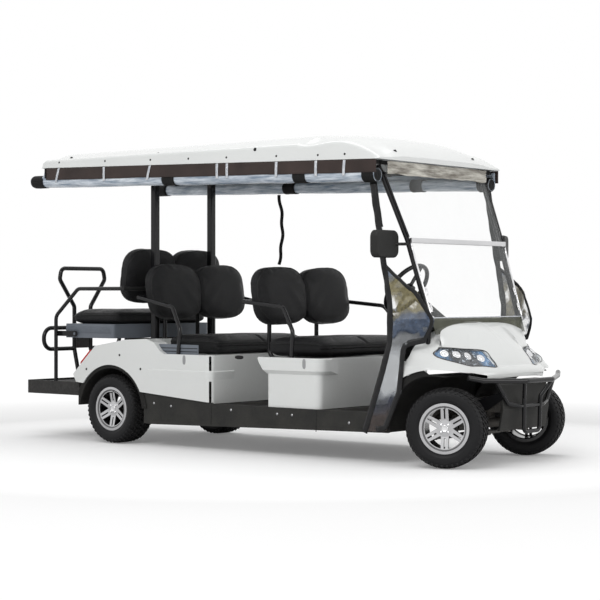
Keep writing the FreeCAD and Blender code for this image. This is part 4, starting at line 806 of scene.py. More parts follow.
def mesh_from(points: Iterable[Point], faces: Iterable[Sequence[int]]) -> Mesh:
    """A mesh from points and faces, with doubles merged and normals outward.

    Args:
        points: Its points.
        faces: Its faces.

    Returns:
        The mesh.
    """
    mesh = bpy.data.meshes.new("Shape")
    mesh.from_pydata([tuple(point) for point in points], [], [tuple(face) for face in faces])
    with reworked(mesh) as work:
        bmesh.ops.remove_doubles(work, verts=work.verts, dist=1e-6)
    return mesh


def merged(meshes: Sequence[Mesh]) -> Mesh:
    """Several meshes as one.

    Args:
        meshes: The meshes.

    Returns:
        The joined mesh.
    """
    work = bmesh.new()
    for mesh in meshes:
        work.from_mesh(mesh)
    return mesh_of(work)


def frames_along(points: Sequence[Vector], closed: bool) -> list[tuple[Vector, Vector]]:
    """Two cross directions at each point of a path, carried along without twist.

    Args:
        points: The path.
        closed: Whether it is a loop.

    Returns:
        The two directions, point by point.
    """
    count = len(points)
    ways = []
    for index in range(count):
        before = points[index - 1] if closed or index else points[0]
        after = points[(index + 1) % count] if closed or index < count - 1 else points[-1]
        ways.append((after - before).normalized())
    across = ways[0].orthogonal().normalized()
    frames = []
    for way in ways:
        across = (across - way * across.dot(way)).normalized()
        frames.append((across, way.cross(across)))
    return frames


def tube_mesh(path: Sequence[Point], radius: float, sides: int = 10, closed: bool = False,
              flat: float = 1.0) -> Mesh:
    """A bar along a path, round or with a second radius that is a share of the first.

    Args:
        path: Its centre line.
        radius: Its radius.
        sides: Sides of its section.
        closed: Whether it is a loop.
        flat: The second radius over the first.

    Returns:
        A closed mesh.
    """
    points = [Vector(point) for point in path]
    verts = []
    for point, (first, second) in zip(points, frames_along(points, closed)):
        for side in range(sides):
            angle = math.tau * side / sides
            verts.append(point + first * math.cos(angle) * radius + second * math.sin(angle) * radius * flat)
    rings = len(points)
    faces = grid_faces(rings, sides, loop_rows=closed)
    if not closed:
        faces += [tuple(reversed(range(sides))), tuple(range((rings - 1) * sides, rings * sides))]
    return mesh_from(verts, faces)


def turned_mesh(profile: Sequence[Point], steps: int, place: Matrix, closed: bool = True) -> Mesh:
    """A profile of (across, radius) turned about the local Y axis, then put in place.

    Args:
        profile: Its points.
        steps: Steps round it.
        place: Its place.
        closed: Whether the profile is a ring.

    Returns:
        The turned mesh.
    """
    angles = [math.tau * step / steps for step in range(steps)]
    verts = [place @ Vector((radius * math.sin(angle), across, radius * math.cos(angle)))
             for angle in angles for across, radius in profile]
    return mesh_from(verts, grid_faces(steps, len(profile), loop_rows=True, loop_columns=closed))


def turned_up(profile: Sequence[Point], steps: int) -> Mesh:
    """An open profile of (height, radius) turned about Z."""
    return turned_mesh(profile, steps, Matrix.Rotation(math.radians(90), 4, "X"), closed=False)


def smooth_loop(points: Sequence[Point], steps: int) -> list[Vector]:
    """A closed Catmull-Rom curve through points.

    Args:
        points: The points it runs through.
        steps: Steps between two points.

    Returns:
        Points of the curve.
    """
    base = [Vector(point) for point in points]
    result = []
    for index in range(len(base)):
        p0, p1, p2, p3 = (base[(index + offset) % len(base)] for offset in (-1, 0, 1, 2))
        for step in range(steps):
            t = step / steps
            result.append(0.5 * ((2 * p1) + (p2 - p0) * t + (2 * p0 - 5 * p1 + 4 * p2 - p3) * t * t
                                 + (3 * p1 - p0 - 3 * p2 + p3) * t ** 3))
    return result


def bevelled_box(low: Point, high: Point, bevel: float, segments: int = 3) -> Mesh:
    """A box with rounded edges between two corners.

    Args:
        low: One corner.
        high: The corner opposite.
        bevel: The radius of its edges.
        segments: Steps across a rounded edge.

    Returns:
        A closed mesh.
    """
    mesh = bpy.data.meshes.new("Shape")
    size = Vector(high) - Vector(low)
    centre = (Vector(high) + Vector(low)) / 2
    with reworked(mesh) as work:
        bmesh.ops.create_cube(work, size=1.0)
        for vert in work.verts:
            vert.co = vert.co * size + centre
        bevel_edges(work, bevel, segments)
    return mesh


def extruded(outline: Sequence[Point], depth: Point, bevel: float) -> Mesh:
    """A flat outline pushed along a vector, with softened edges.

    Args:
        outline: Its corners.
        depth: How far it goes, and which way.
        bevel: The radius of its edges.

    Returns:
        A closed mesh.
    """
    points = [Vector(point) for point in outline]
    count = len(points)
    verts = points + [point + Vector(depth) for point in points]
    mesh = mesh_from(verts, [tuple(range(count)), tuple(reversed(range(count, 2 * count))),
                                   *grid_faces(2, count)])
    with reworked(mesh) as work:
        bevel_edges(work, bevel, 2, clamp_overlap=True)
    return mesh


def thickened(mesh: Mesh, thickness: float) -> Mesh:
    """An open surface given a thickness and closed, with its normals outward.

    Args:
        mesh: The surface.
        thickness: Its thickness.

    Returns:
        The same mesh, closed.
    """
    with reworked(mesh) as work:
        bmesh.ops.recalc_face_normals(work, faces=work.faces)
        bmesh.ops.solidify(work, geom=work.faces[:], thickness=thickness)
    return mesh


def solid_sheet(grid: Grid, thickness: float) -> Mesh:
    """Rows of points, all as long, as a thin closed sheet.

    Args:
        grid: Its rows.
        thickness: Its thickness.

    Returns:
        A closed mesh.
    """
    mesh = bpy.data.meshes.new("Shape")
    mesh.from_pydata([Vector(point) for row in grid for point in row], [],
                     grid_faces(len(grid), len(grid[0]), loop_columns=False))
    return thickened(mesh, thickness)


def super_form(half: Point, powers: tuple[float, float], steps: int) -> Mesh:
    """A ball squared off by its powers in plan and in thickness: 1 for a ball, less for a square.

    Args:
        half: Its half sizes, the thin one first.
        powers: The two powers.
        steps: Steps round it.

    Returns:
        A closed mesh.
    """
    def signed(value: float, power: float) -> float:
        """A power that keeps the sign."""
        return math.copysign(abs(value) ** power, value)

    rows = steps // 2
    verts = [Vector((half[0], 0, 0))]
    for row in range(1, rows):
        lat = math.pi / 2 - math.pi * row / rows
        spread = signed(math.cos(lat), powers[1])
        for step in range(steps):
            lon = math.tau * step / steps
            verts.append(Vector((half[0] * signed(math.sin(lat), powers[1]),
                                 half[1] * spread * signed(math.cos(lon), powers[0]),
                                 half[2] * spread * signed(math.sin(lon), powers[0]))))
    verts.append(Vector((-half[0], 0, 0)))
    faces: list[Sequence[int]] = []
    last = 1 + (rows - 2) * steps
    for step in range(steps):
        faces.append((0, 1 + step, 1 + (step + 1) % steps))
        faces.append((len(verts) - 1, last + (step + 1) % steps, last + step))
    for row in range(rows - 2):
        for step in range(steps):
            a = 1 + row * steps + step
            b = 1 + row * steps + (step + 1) % steps
            faces.append((a, a + steps, b + steps, b))
    return mesh_from(verts, faces)


def surface_tree(*items: Piece) -> BVHTree:
    """A search tree over one or more shown meshes.

    Args:
        items: The shown meshes.

    Returns:
        The tree.
    """
    work = bmesh.new()
    for item in items:
        work.from_mesh(item.data)
    tree = BVHTree.FromBMesh(work)
    work.free()
    return tree


def node_tree(frame: dict, *names: str) -> BVHTree:
    """A search tree over CAD nodes."""
    return surface_tree(*(frame["nodes"][name] for name in names))


def strike(tree: BVHTree, start: Point, way: Point) -> Hit | None:
    """Where a ray first meets a surface, and the normal there that looks back along it.

    Args:
        tree: The surface.
        start: Where the ray starts.
        way: Which way it runs.

    Returns:
        The spot and the normal, or nothing.
    """
    spot, normal, _, _ = tree.ray_cast(Vector(start), Vector(way))
    if spot is None:
        return None
    return spot, normal if normal.dot(Vector(way)) < 0 else -normal


def facing(normal: Point) -> Quaternion:
    """The turn that takes +Z onto a direction."""
    return Vector(normal).to_track_quat("Z", "Y")


# ---- repeats by geometry nodes
class Repeater:
    """Geometry Nodes that set one small shape at each point of a cloud, turned to its normal."""

    NAME = "Set_on_points"
    SOCKETS = (("Geometry", "INPUT", "Geometry"), ("Shape", "INPUT", "Object"), ("Size", "INPUT", "Float"),
               ("Finish", "INPUT", "Material"), ("Geometry", "OUTPUT", "Geometry"))

    def tree(self) -> bpy.types.NodeTree:
        """The node tree, built once, with named inputs.

        Returns:
            The node tree.
        """
        if self.NAME in bpy.data.node_groups:
            return bpy.data.node_groups[self.NAME]
        tree = bpy.data.node_groups.new(self.NAME, "GeometryNodeTree")
        for name, way, kind in self.SOCKETS:
            tree.interface.new_socket(name, in_out=way, socket_type="NodeSocket" + kind)
        start, end, shape, turn, place, realize, paint = (tree.nodes.new(kind) for kind in (
            "NodeGroupInput", "NodeGroupOutput", "GeometryNodeObjectInfo", "GeometryNodeInputNamedAttribute",
            "GeometryNodeInstanceOnPoints", "GeometryNodeRealizeInstances", "GeometryNodeSetMaterial"))
        turn.data_type = "QUATERNION"
        turn.inputs[0].default_value = "turn"
        for source, target in (
            (start.outputs["Geometry"], place.inputs["Points"]), (start.outputs["Shape"], shape.inputs[0]),
            (shape.outputs["Geometry"], place.inputs["Instance"]), (turn.outputs[0], place.inputs["Rotation"]),
            (start.outputs["Size"], place.inputs["Scale"]), (place.outputs[0], realize.inputs[0]),
            (realize.outputs[0], paint.inputs["Geometry"]), (start.outputs["Finish"], paint.inputs["Material"]),
            (paint.outputs[0], end.inputs[0]),
        ):
            tree.links.new(source, target)
        return tree

    def make(self, name: str, shape: Mesh, places: Sequence[Spot], finish: Finish, body: str,
             size: float = 1.0) -> Piece:
        """Set a shape, with +Z outwards, at each place and keep the result as one plain piece.

        Args:
            name: The piece's name.
            shape: The shape that repeats, about its own origin.
            places: Where each copy goes, and how it is turned.
            finish: Its finish.
            body: The body it rides on.
            size: A scale for every copy.

        Returns:
            The piece.
        """
        cloud = bpy.data.meshes.new(name + "_cloud")
        cloud.from_pydata([tuple(spot) for spot, _ in places], [], [])
        turns = cloud.attributes.new("turn", "QUATERNION", "POINT")
        turns.data.foreach_set("value", [number for _, turn in places for number in turn])
        carrier = shown(name + "_carrier", cloud)
        source = shown(name + "_shape", shape)
        modifier = carrier.modifiers.new("Repeat", "NODES")
        modifier.node_group = self.tree()
        sockets = {item.name: item.identifier for item in modifier.node_group.interface.items_tree
                   if item.in_out == "INPUT"}
        modifier[sockets["Shape"]] = source
        modifier[sockets["Size"]] = size
        modifier[sockets["Finish"]] = finish.material()
        result = baked(carrier)
        bpy.data.objects.remove(carrier)
        bpy.data.objects.remove(source)
        return put(name, result, finish, body)


REPEATER = Repeater()


def baked(item: Piece) -> Mesh:
    """An object's mesh with its modifiers applied."""
    bpy.context.view_layer.update()
    return bpy.data.meshes.new_from_object(item.evaluated_get(bpy.context.evaluated_depsgraph_get()))


def screw_head(radius: float, height: float) -> Mesh:
    """A low domed screw head with a washer under it and a recess on top."""
    profile = ((0.0, 0.0), (0.0, 1.5), (0.28, 1.5), (0.3, 1.0), (0.8, 0.86), (1.0, 0.55), (0.72, 0.3), (0.72, 0.0))
    return turned_up([(height * up, radius * across) for up, across in profile], 14)


def dress(frame: dict, finishes: dict[str, Finish]) -> None:
    """Give CAD nodes their finishes through their object's material slots.

    Args:
        finishes: The finish of each node.
    """
    for name, finish in finishes.items():
        item = frame["nodes"].get(name)
        if item is None:
            LOG.warning("no node %s", name)
            continue
        if not item.material_slots:
            item.data.materials.append(None)
        for slot in item.material_slots:
            slot.link = "OBJECT"
            slot.material = finish.material()


# ---- padded pieces
@dataclass
class Padding:
    """How a padded piece swells: remesh size, pressure, and how far a point may move."""

    voxel: float = 0.009
    pressure: float = 4.0
    cap: float = 0.012
    frames: int = 20

    def fill(self, piece: Piece) -> None:
        """Remesh a closed form and swell it by a cloth simulation.

        Args:
            piece: The form; its mesh is replaced.
        """
        remesh = piece.modifiers.new("Remesh", "REMESH")
        remesh.mode = "VOXEL"
        remesh.voxel_size = self.voxel
        self.settle(piece)
        self.swell(piece)
        for face in piece.data.polygons:
            face.use_smooth = True

    def swell(self, piece: Piece) -> None:
        """Blow the form up from inside, and hold every point near its home.

        Args:
            piece: The form; its mesh is replaced.
        """
        rest = [vert.co.copy() for vert in piece.data.vertices]
        settings = piece.modifiers.new("Cloth", "CLOTH").settings
        settings.use_pressure = True
        settings.uniform_pressure_force = self.pressure
        settings.effector_weights.gravity = 0.0
        settings.quality = 4
        for frame in range(1, self.frames + 1):
            bpy.context.scene.frame_set(frame)
        self.settle(piece)
        bpy.context.scene.frame_set(1)
        for vert, home in zip(piece.data.vertices, rest):
            shift = vert.co - home
            if shift.length > self.cap:
                vert.co = home + shift.normalized() * self.cap

    @staticmethod
    def settle(piece: Piece) -> None:
        """Bake a piece's modifiers into its mesh.

        Args:
            piece: The piece; its mesh is replaced.
        """
        mesh = baked(piece)
        piece.modifiers.clear()
        piece.data = mesh


# ---- wheels
def lug_mesh(length: float, width: float, height: float, skew: float) -> Mesh:
    """One tread block, a skewed Z-shaped bar with sloping sides, standing on the origin.

    Args:
        length: Its length.
        width: Its width.
        height: How far it stands out.
        skew: How far it leans along its length.

    Returns:
        The block.
    """
    outline = [(-0.5, -0.5), (0.05, -0.5), (0.18, -0.08), (0.5, -0.08), (0.5, 0.5), (-0.05, 0.5), (-0.18, 0.08),
               (-0.5, 0.08)]
    verts = [(x * length * grow + y * width * skew * grow, y * width * grow, level)
             for level, grow in ((-0.004, 1.12), (height, 1.0)) for x, y in outline]
    count = len(outline)
    return mesh_from(verts, [tuple(range(count, 2 * count)), *grid_faces(2, count)])


@dataclass
class Wheel:
    """One wheel: a tyre with real tread blocks round its CAD rim, nuts, cap and valve."""

    frame: dict
    label: str
    centre: Point
    side: int
    yaw: float
    radius: float = 0.2298
    half_width: float = 0.1015
    bead_radius: float = 0.1275
    lugs_round: int = 44
    nuts: int = 4
    nut_circle: float = 0.0295
    nut_seat: float = 0.0655
    nut: tuple[Point, ...] = ((0.0, 0.0), (0.0, 0.0095), (0.010, 0.0088), (0.0125, 0.0060), (0.0125, 0.0))
    cap: tuple[Point, ...] = ((0.0670, 0.0), (0.0670, 0.0205), (0.0725, 0.0200), (0.0752, 0.0178), (0.0752, 0.0150),
                              (0.0738, 0.0140), (0.0742, 0.0070), (0.0744, 0.0))
    stem: tuple[Point, ...] = ((0.080, 0.108), (0.089, 0.1075), (0.1000, 0.1085))
    # rows of blocks: across, length round, width, skew, phase, sunk from the crown, lean, height
    middle_row: Point = (0.0, 0.024, 0.026, 0.35, 0.0, 0.0078, 0.0, 0.0076)
    outer_rows: tuple[Point, ...] = ((0.031, 0.023, 0.024, -0.45, 0.5, 0.0080, 0.02, 0.0076),
                                     (0.061, 0.022, 0.026, 0.5, 0.1, 0.0096, 0.09, 0.0076),
                                     (0.0868, 0.019, 0.024, -0.2, 0.6, 0.0175, 0.52, 0.0062))

    @property
    def body(self) -> str:
        """The body that spins."""
        return f"wheel_{self.label}"

    def place(self) -> Matrix:
        """From the wheel's own frame, with +Y outboard, to the cart's.

        Returns:
            The matrix.
        """
        turn = Matrix.Rotation(math.radians(self.yaw), 4, "Z")
        if self.side < 0:
            turn = turn @ Matrix.Rotation(math.pi, 4, "Z")
        return Matrix.Translation(Vector(self.centre)) @ turn

    def axis(self) -> Point:
        """The outboard direction of the axle."""
        return tuple(self.place().to_3x3() @ Vector((0, 1, 0)))

    def tyre(self) -> None:
        """The casing: beads, bulged side walls with rings, and the base of the tread."""
        crown = self.radius - 0.0085
        outer = [
            (0.0805, self.bead_radius), (0.0807, 0.1455), (0.0895, 0.1490), (0.0955, 0.1570), (0.0990, 0.1640),
            (0.0998, 0.1650), (0.1003, 0.1700), (0.1012, 0.1800), (self.half_width, 0.1850), (0.1010, 0.1930),
            (0.0996, 0.2000), (0.0990, 0.2010), (0.0975, 0.2070), (0.0930, 0.2130), (0.0840, 0.2180),
            (0.0700, crown - 0.0012), (0.0400, crown),
        ]
        inner = [(0.0450, 0.2130), (0.0820, 0.2040), (0.0900, 0.1800), (0.0680, self.bead_radius)]
        ring = outer + [(-across, radius) for across, radius in reversed(outer)]
        profile = ring + [(-across, radius) for across, radius in reversed(inner)] + inner
        finish = TyreFinish(f"Tyre_rubber_{self.label}", (0.010, 0.010, 0.011), 0.50, centre=self.centre,
                            axis=self.axis(), patch=0.25, specular=0.22)
        piece = put(f"Tyre_casing_{self.label}", turned_mesh(profile, 96, self.place()), finish,
                    self.body)
        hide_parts(f"tyre_{self.label}")
        self.tread(finish)

    def tread(self, finish: Finish) -> None:
        """Rows of skewed blocks round the crown, and cleats over the shoulders.

        Args:
            finish: The tyre's finish.
        """
        rows = [self.middle_row]
        for across, *row in self.outer_rows:
            rows += [(across, *row), (-across, *row[:5], -row[5], row[6])]
        place = self.place()
        for index, (across, length, width, skew, phase, sunk, lean, height) in enumerate(rows):
            places = []
            for step in range(self.lugs_round):
                angle = math.tau * (step + phase) / self.lugs_round
                out = Vector((math.sin(angle), 0, math.cos(angle)))
                around = Vector((math.cos(angle), 0, -math.sin(angle)))
                up = (out * math.cos(lean) + Vector((0, 1, 0)) * math.sin(lean)).normalized()
                turn = Matrix((around, up.cross(around), up)).transposed()
                spot = place @ (out * (self.radius - sunk) + Vector((0, across, 0)))
                places.append((spot, (place.to_3x3() @ turn).to_quaternion()))
            piece = REPEATER.make(f"Tread_{self.label}_{index}", lug_mesh(length, width, height, skew), places,
                                  finish, self.body)
            for face in piece.data.polygons:
                face.use_smooth = False

    def rim(self) -> None:
        """The machined finish on the CAD rim, its nuts, centre cap and valve."""
        finish = RimFinish(f"Alloy_{self.label}", (0.012, 0.012, 0.013), 0.25, coat=0.3, centre=self.centre,
                           axis=self.axis(), face=0.066)
        dress(self.frame, {f"rim_{self.label}": finish})
        place = self.place()
        spots = []
        for step in range(self.nuts):
            angle = math.tau * (step + 0.5) / self.nuts
            local = Vector((self.nut_circle * math.sin(angle), self.nut_seat, self.nut_circle * math.cos(angle)))
            spots.append((place @ local, facing(self.axis())))
        REPEATER.make(f"Wheel_nuts_{self.label}", turned_up(self.nut, 6), spots, CHROME, self.body)
        put(f"Centre_cap_{self.label}", turned_mesh(self.cap, 40, place, closed=False), CHROME, self.body)
        stem = [place @ Vector((0.0, *spot)) for spot in self.stem]
        put(f"Valve_{self.label}", tube_mesh(stem, 0.0034), SILL_BLACK, self.body)

    def build(self) -> None:
        """Build the whole wheel."""
        self.tyre()
        self.rim()


# ---- seats
@dataclass
class Bench:
    """A seat cushion and its two-lobed backrest, padded, piped and stitched."""

    label: str
    cushion_body: str
    lean: float
    front_way: int
    cushion_powers: tuple[float, float] = (0.16, 0.30)
    lobe_powers: tuple[float, float] = (0.62, 0.34)
    lobe_depth: float = 0.046
    lobe_shift: float = -0.014
    bridge: Point = (0.040, 0.10, 0.56)
    channel_depth: float = 0.011
    seam_depth: float = 0.007
    stitch_pitch: float = 0.009
    padding: Padding = field(default_factory=Padding)

    def cushion(self) -> None:
        """The seat: a deep crowned cushion in two places, with a rolled front edge."""
        low, high = (Vector(corner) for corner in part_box(f"{self.label}_cushion"))
        middle = (low + high) / 2
        half = (high - low) / 2 - Vector((0.009, 0.009, 0.007))
        form = super_form((half.z, half.x, half.y), self.cushion_powers, 64)
        turn = Matrix(((0, 1, 0), (0, 0, 1), (1, 0, 0))).to_4x4()
        form.transform(Matrix.Translation(middle) @ turn)
        piece = add_piece(f"Cushion_{self.label}", form, SEAT_VINYL)
        self.padding.fill(piece)
        self.shape_cushion(piece, middle, half, low.z)
        ride_on(piece, self.cushion_body)
        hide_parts(f"{self.label}_cushion")
        tree = surface_tree(piece)
        self.cushion_piping(tree, middle, half)
        self.stitches(tree, middle, half)

    def shape_cushion(self, piece: Piece, middle: Vector, half: Vector, floor: float) -> None:
        """Press the sewn channels in, crown the top and keep the bottom flat.

        Args:
            piece: The piece.
            middle: The middle of its box.
            half: Half its size.
            floor: The height that it rests at.
        """
        for vert in piece.data.vertices:
            x = (vert.co.x - middle.x) * self.front_way
            y = vert.co.y
            top = vert.co.z - middle.z
            if top > 0:
                channel = math.exp(-((abs(y) - 0.006) / 0.007) ** 2)
                across = math.exp(-((x - half.x * 0.52) / 0.007) ** 2)
                fold = noise.noise(Vector((x * 7.0, y * 5.0, 3.0))) * 0.0035
                sunk = channel * self.channel_depth + across * self.seam_depth
                vert.co.z -= sunk * min(1.0, top / (half.z * 0.6)) - fold
                vert.co.z -= max(0.0, x - half.x * 0.6) * 0.16
            vert.co.z = max(vert.co.z, floor + 0.0005)

    def cushion_piping(self, tree: BVHTree, middle: Vector, half: Vector) -> None:
        """The welt round the top edge.

        Args:
            tree: The cushion's surface.
            middle: The middle of its box.
            half: Half its size.
        """
        path = []
        for step in range(120):
            angle = math.tau * step / 120
            c, s = math.cos(angle), math.sin(angle)
            guess = (middle.x + math.copysign(abs(c) ** 0.16, c) * half.x * 1.1,
                     middle.y + math.copysign(abs(s) ** 0.16, s) * half.y * 1.1, middle.z + half.z * 0.42)
            spot, normal, _, _ = tree.find_nearest(Vector(guess))
            path.append(spot - normal * 0.0005)
        put(f"Piping_{self.label}", tube_mesh(path, 0.0038, 8, closed=True), PIPING,
            self.cushion_body)

    def stitches(self, tree: BVHTree, middle: Vector, half: Vector) -> None:
        """Rows of stitches along the channels, laid on the padded surface.

        Args:
            tree: The cushion's surface.
            middle: The middle of its box.
            half: Half its size.
        """
        stitch = bevelled_box((-0.0030, -0.0007, -0.0006), (0.0030, 0.0007, 0.0007), 0.0005, 1)
        places = []
        for y in (-0.016, 0.016):
            for step in range(int(half.x * 1.7 / self.stitch_pitch)):
                hit = strike(tree, (middle.x - half.x * 0.85 + step * self.stitch_pitch, y, middle.z + 0.3), DOWN)
                if hit:
                    spot, up = hit
                    along = (Vector((1, 0, 0)) - up * up.x).normalized()
                    places.append((spot, Matrix((along, up.cross(along), up)).transposed().to_quaternion()))
        REPEATER.make(f"Stitches_{self.label}", stitch, places, THREAD, self.cushion_body)

    def backrest(self) -> None:
        """Two big rounded lobes joined in the middle, swelled, piped and a little wrinkled."""
        low, high = (Vector(corner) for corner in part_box(f"{self.label}_backrest"))
        middle = (low + high) / 2
        turn = Matrix.Translation(middle) @ Matrix.Rotation(math.radians(self.lean), 4, "Y")
        height = (high.z - low.z) / 2 - 0.010
        lobe_half = (self.lobe_depth, (high.y - low.y) / 4 + 0.006, height)
        forms = []
        for side in (1, -1):
            forms.append(super_form(lobe_half, self.lobe_powers, 56))
            forms[-1].transform(turn @ Matrix.Translation((0, side * ((high.y - low.y) / 4 + self.lobe_shift), 0)))
        depth, reach, share = self.bridge
        forms.append(super_form((depth, reach, height * share), (0.5, 0.4), 40))
        forms[-1].transform(turn @ Matrix.Translation((0, 0, -0.02)))
        piece = add_piece(f"Backrest_{self.label}", merged(forms), SEAT_VINYL)
        self.padding.fill(piece)
        self.wrinkle(piece, middle)
        ride_on(piece)
        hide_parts(f"{self.label}_backrest")
        self.backrest_piping(piece, turn, high.y / 2 + self.lobe_shift, lobe_half)

    @staticmethod
    def wrinkle(piece: Piece, middle: Vector) -> None:
        """Creases that run down and in from the lobes' tops to the pinch between them.

        Args:
            piece: The piece.
            middle: The middle of its box.
        """
        normals = [vert.normal.copy() for vert in piece.data.vertices]
        for vert, normal in zip(piece.data.vertices, normals):
            y = abs(vert.co.y)
            z = vert.co.z - middle.z
            along = y * 0.7 + z * 0.7
            across = y * 0.7 - z * 0.7
            near = math.exp(-(y / 0.20) ** 2)
            crease = noise.noise(Vector((across * 16.0, along * 3.0, math.copysign(4.0, vert.co.y)))) * 0.006 * near
            broad = noise.noise(vert.co * 5.0) * 0.003
            pinch = math.exp(-(vert.co.y / 0.012) ** 2) * 0.010
            vert.co += normal * (crease + broad - pinch)

    def backrest_piping(self, piece: Piece, turn: Matrix, offset: float, half: Point) -> None:
        """A welt round each lobe, on its front and back edges.

        Args:
            piece: The piece.
            turn: From the backrest's own frame to the cart's.
            offset: How far a lobe's middle is from the cart's.
            half: A lobe's half sizes.
        """
        tree = surface_tree(piece)
        for count, (face, side) in enumerate(((1, 1), (1, -1), (-1, 1), (-1, -1)), 1):
            path = []
            for step in range(-58, 59):
                angle = math.pi * step / 74
                guess = Vector((face * 0.034, side * (offset + half[1] * 1.03 * math.cos(angle)),
                                half[2] * 1.03 * math.sin(angle)))
                if abs(guess.y) >= 0.02:
                    spot, normal, _, _ = tree.find_nearest(turn @ guess)
                    path.append(spot - normal * 0.0008)
            put(f"Backrest_piping_{self.label}_{count}", tube_mesh(path, 0.0034, 8), PIPING)

    def build(self) -> None:
        """Build the bench."""
        self.cushion()
        self.backrest()


# ---- curtains
@dataclass
class RolledCurtain:
    """A side curtain of clear film rolled up under the roof, with its dark valance, straps and stays."""

    label: str
    side: int
    front: tuple[float, float] = (1.2030, 1.690)
    rear: tuple[float, float] = (-1.7620, 1.768)
    reach: float = 0.603
    outer: float = 0.0425
    inner: float = 0.0130
    turns: float = 7.25
    strap_setbacks: tuple[Point, ...] = ((2.022, 2.128), (0.938, 1.034))
    stay_setbacks: tuple[Point, ...] = (
        (3.093, 3.123), (2.655, 2.655), (2.228, 2.255), (1.642, 1.642), (1.558, 1.558), (1.155, 1.158),
        (0.846, 0.848), (0.631, 0.638))
    hung_reach: float = 0.6415
    valance_reach: float = 0.6478
    stay_reach: float = 0.6492
    valance_rear: float = -1.6015
    rim_front: tuple[float, float] = (0.385, 1.778)
    rim_rear: tuple[float, float] = (3.300, 1.857)
    film_size: tuple[float, float] = (2.965, 1.36)
    valance_size: tuple[float, float] = (2.826, 0.084)
    gathered: tuple[Point, ...] = ((0.128, 1.06), (0.10, 1.07), (0.05, 1.09), (0.012, 1.07), (0.002, 0.98),
                                   (-0.0012, 0.70), (-0.0022, 0.30), (-0.0026, 0.02))

    def piece(self, name: str, grid: Grid, thickness: float, finish: Finish) -> Piece:
        """A sheet that belongs to the curtain."""
        return put(name, solid_sheet(grid, thickness), finish)

    def centre(self, x: float) -> Vector:
        """The roll's centre line at a place along the cart.

        Args:
            x: The place along the cart.

        Returns:
            The centre.
        """
        share = (x - self.rear[0]) / (self.front[0] - self.rear[0])
        sag = -0.0025 * abs(math.sin(x * 2.9 + self.side)) + soft_noise(x * 5.0, self.side * 3.0) * 0.0015
        return Vector((x, self.side * self.reach, self.rear[1] + share * (self.front[1] - self.rear[1]) + sag))

    def swell(self, x: float, angle: float) -> float:
        """How full the roll is there: drawn in at its straps, lumpy between.

        Args:
            x: The place along the cart.
            angle: The angle round the roll.

        Returns:
            A share of the full radius.
        """
        drawn = max(math.exp(-((FRONT_DATUM - x - (low + high) / 2) / 0.07) ** 2) for low, high in self.strap_setbacks)
        lump = soft_noise(x * 4.0, math.cos(angle) * 1.3, math.sin(angle) * 1.3 + self.side * 5.0)
        crease = soft_noise(x * 13.0, math.cos(angle) * 4.0, math.sin(angle) * 4.0 + self.side * 9.0)
        return 0.975 - 0.10 * drawn + (0.035 * lump + 0.022 * crease) * (1.0 - drawn)

    def on_roll(self, x: float, radius: float, angle: float) -> Vector:
        """A point of the roll.

        Args:
            x: The place along the cart.
            radius: The distance from its centre line.
            angle: The angle round the roll.

        Returns:
            The point.
        """
        spread = radius * self.swell(x, angle)
        out = self.side * math.cos(angle) * spread
        return self.centre(x) + Vector((0, out, math.sin(angle) * spread * 0.985))

    def ring(self, x: float, radius: float) -> list[Vector]:
        """A closed line round the roll."""
        return [self.on_roll(x, radius, math.tau * step / 48) for step in range(49)]

    def rim(self, x: float) -> float:
        """The height of the roof's rim over the roll."""
        share = (FRONT_DATUM - x - self.rim_front[0]) / (self.rim_rear[0] - self.rim_front[0])
        return self.rim_front[1] + share * (self.rim_rear[1] - self.rim_front[1])

    def roll(self) -> Piece:
        """The film, wound in a spiral from its core out, with its last run up to the rim.

        Returns:
            The film.
        """
        rows, around, hung_steps = 150, 150, 6
        grid = []
        for row in range(rows + 1):
            x = self.rear[0] + (self.front[0] - self.rear[0]) * row / rows
            line = []
            for step in range(around + 1):
                share = step / around
                radius = self.inner + (self.outer - self.inner) * share
                line.append(self.on_roll(x, radius, math.tau * self.turns * (share - 1.0)))
            edge = line[-1]
            rise = min(1.0, max(0.0, (x + 1.650) / 0.03))
            top = self.rim(min(x, 1.195)) - 0.012 - edge.z
            for step in range(1, hung_steps + 1):
                share = step / hung_steps
                out = self.side * (self.hung_reach + soft_noise(x * 9.0, share * 3.0) * 0.002) - edge.y
                hung = edge + Vector((0, out * min(1.0, share * 1.5), top * share))
                line.append(self.on_roll(x, self.outer, share * 1.2).lerp(hung, rise))
            grid.append(line)
        piece = self.piece(f"Rolled_film_{self.label}", grid, 0.0007, ROLL_FILM)
        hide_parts(f"curtain_roll_{self.label}")
        return piece

    def strap(self, index: int, low: float, high: float) -> Piece:
        """A black strap drawn tight round the roll, with two raised folds.

        Args:
            index: Its number.
            low: The setback of one end.
            high: The setback of the other.

        Returns:
            The strap.
        """
        grid = []
        for step in range(13):
            fold = 0.0022 + 0.0014 * abs(math.sin(step * math.pi / 4))
            grid.append(self.ring(at_setback(low + (high - low) * step / 12), self.outer + fold))
        return self.piece(f"Roll_strap_{self.label}_{index}", grid, -0.0018, BAND_BLACK)

    def sleeve(self, name: str, end: float, way: int, rings: Sequence[Point]) -> Piece:
        """A black sleeve over one end: rings of how far in from the end, and how wide against the roll."""
        grid = [self.ring(end + way * across, self.outer * share) for across, share in rings]
        return self.piece(f"Roll_{name}_{self.label}", grid, 0.0012, BAND_BLACK)

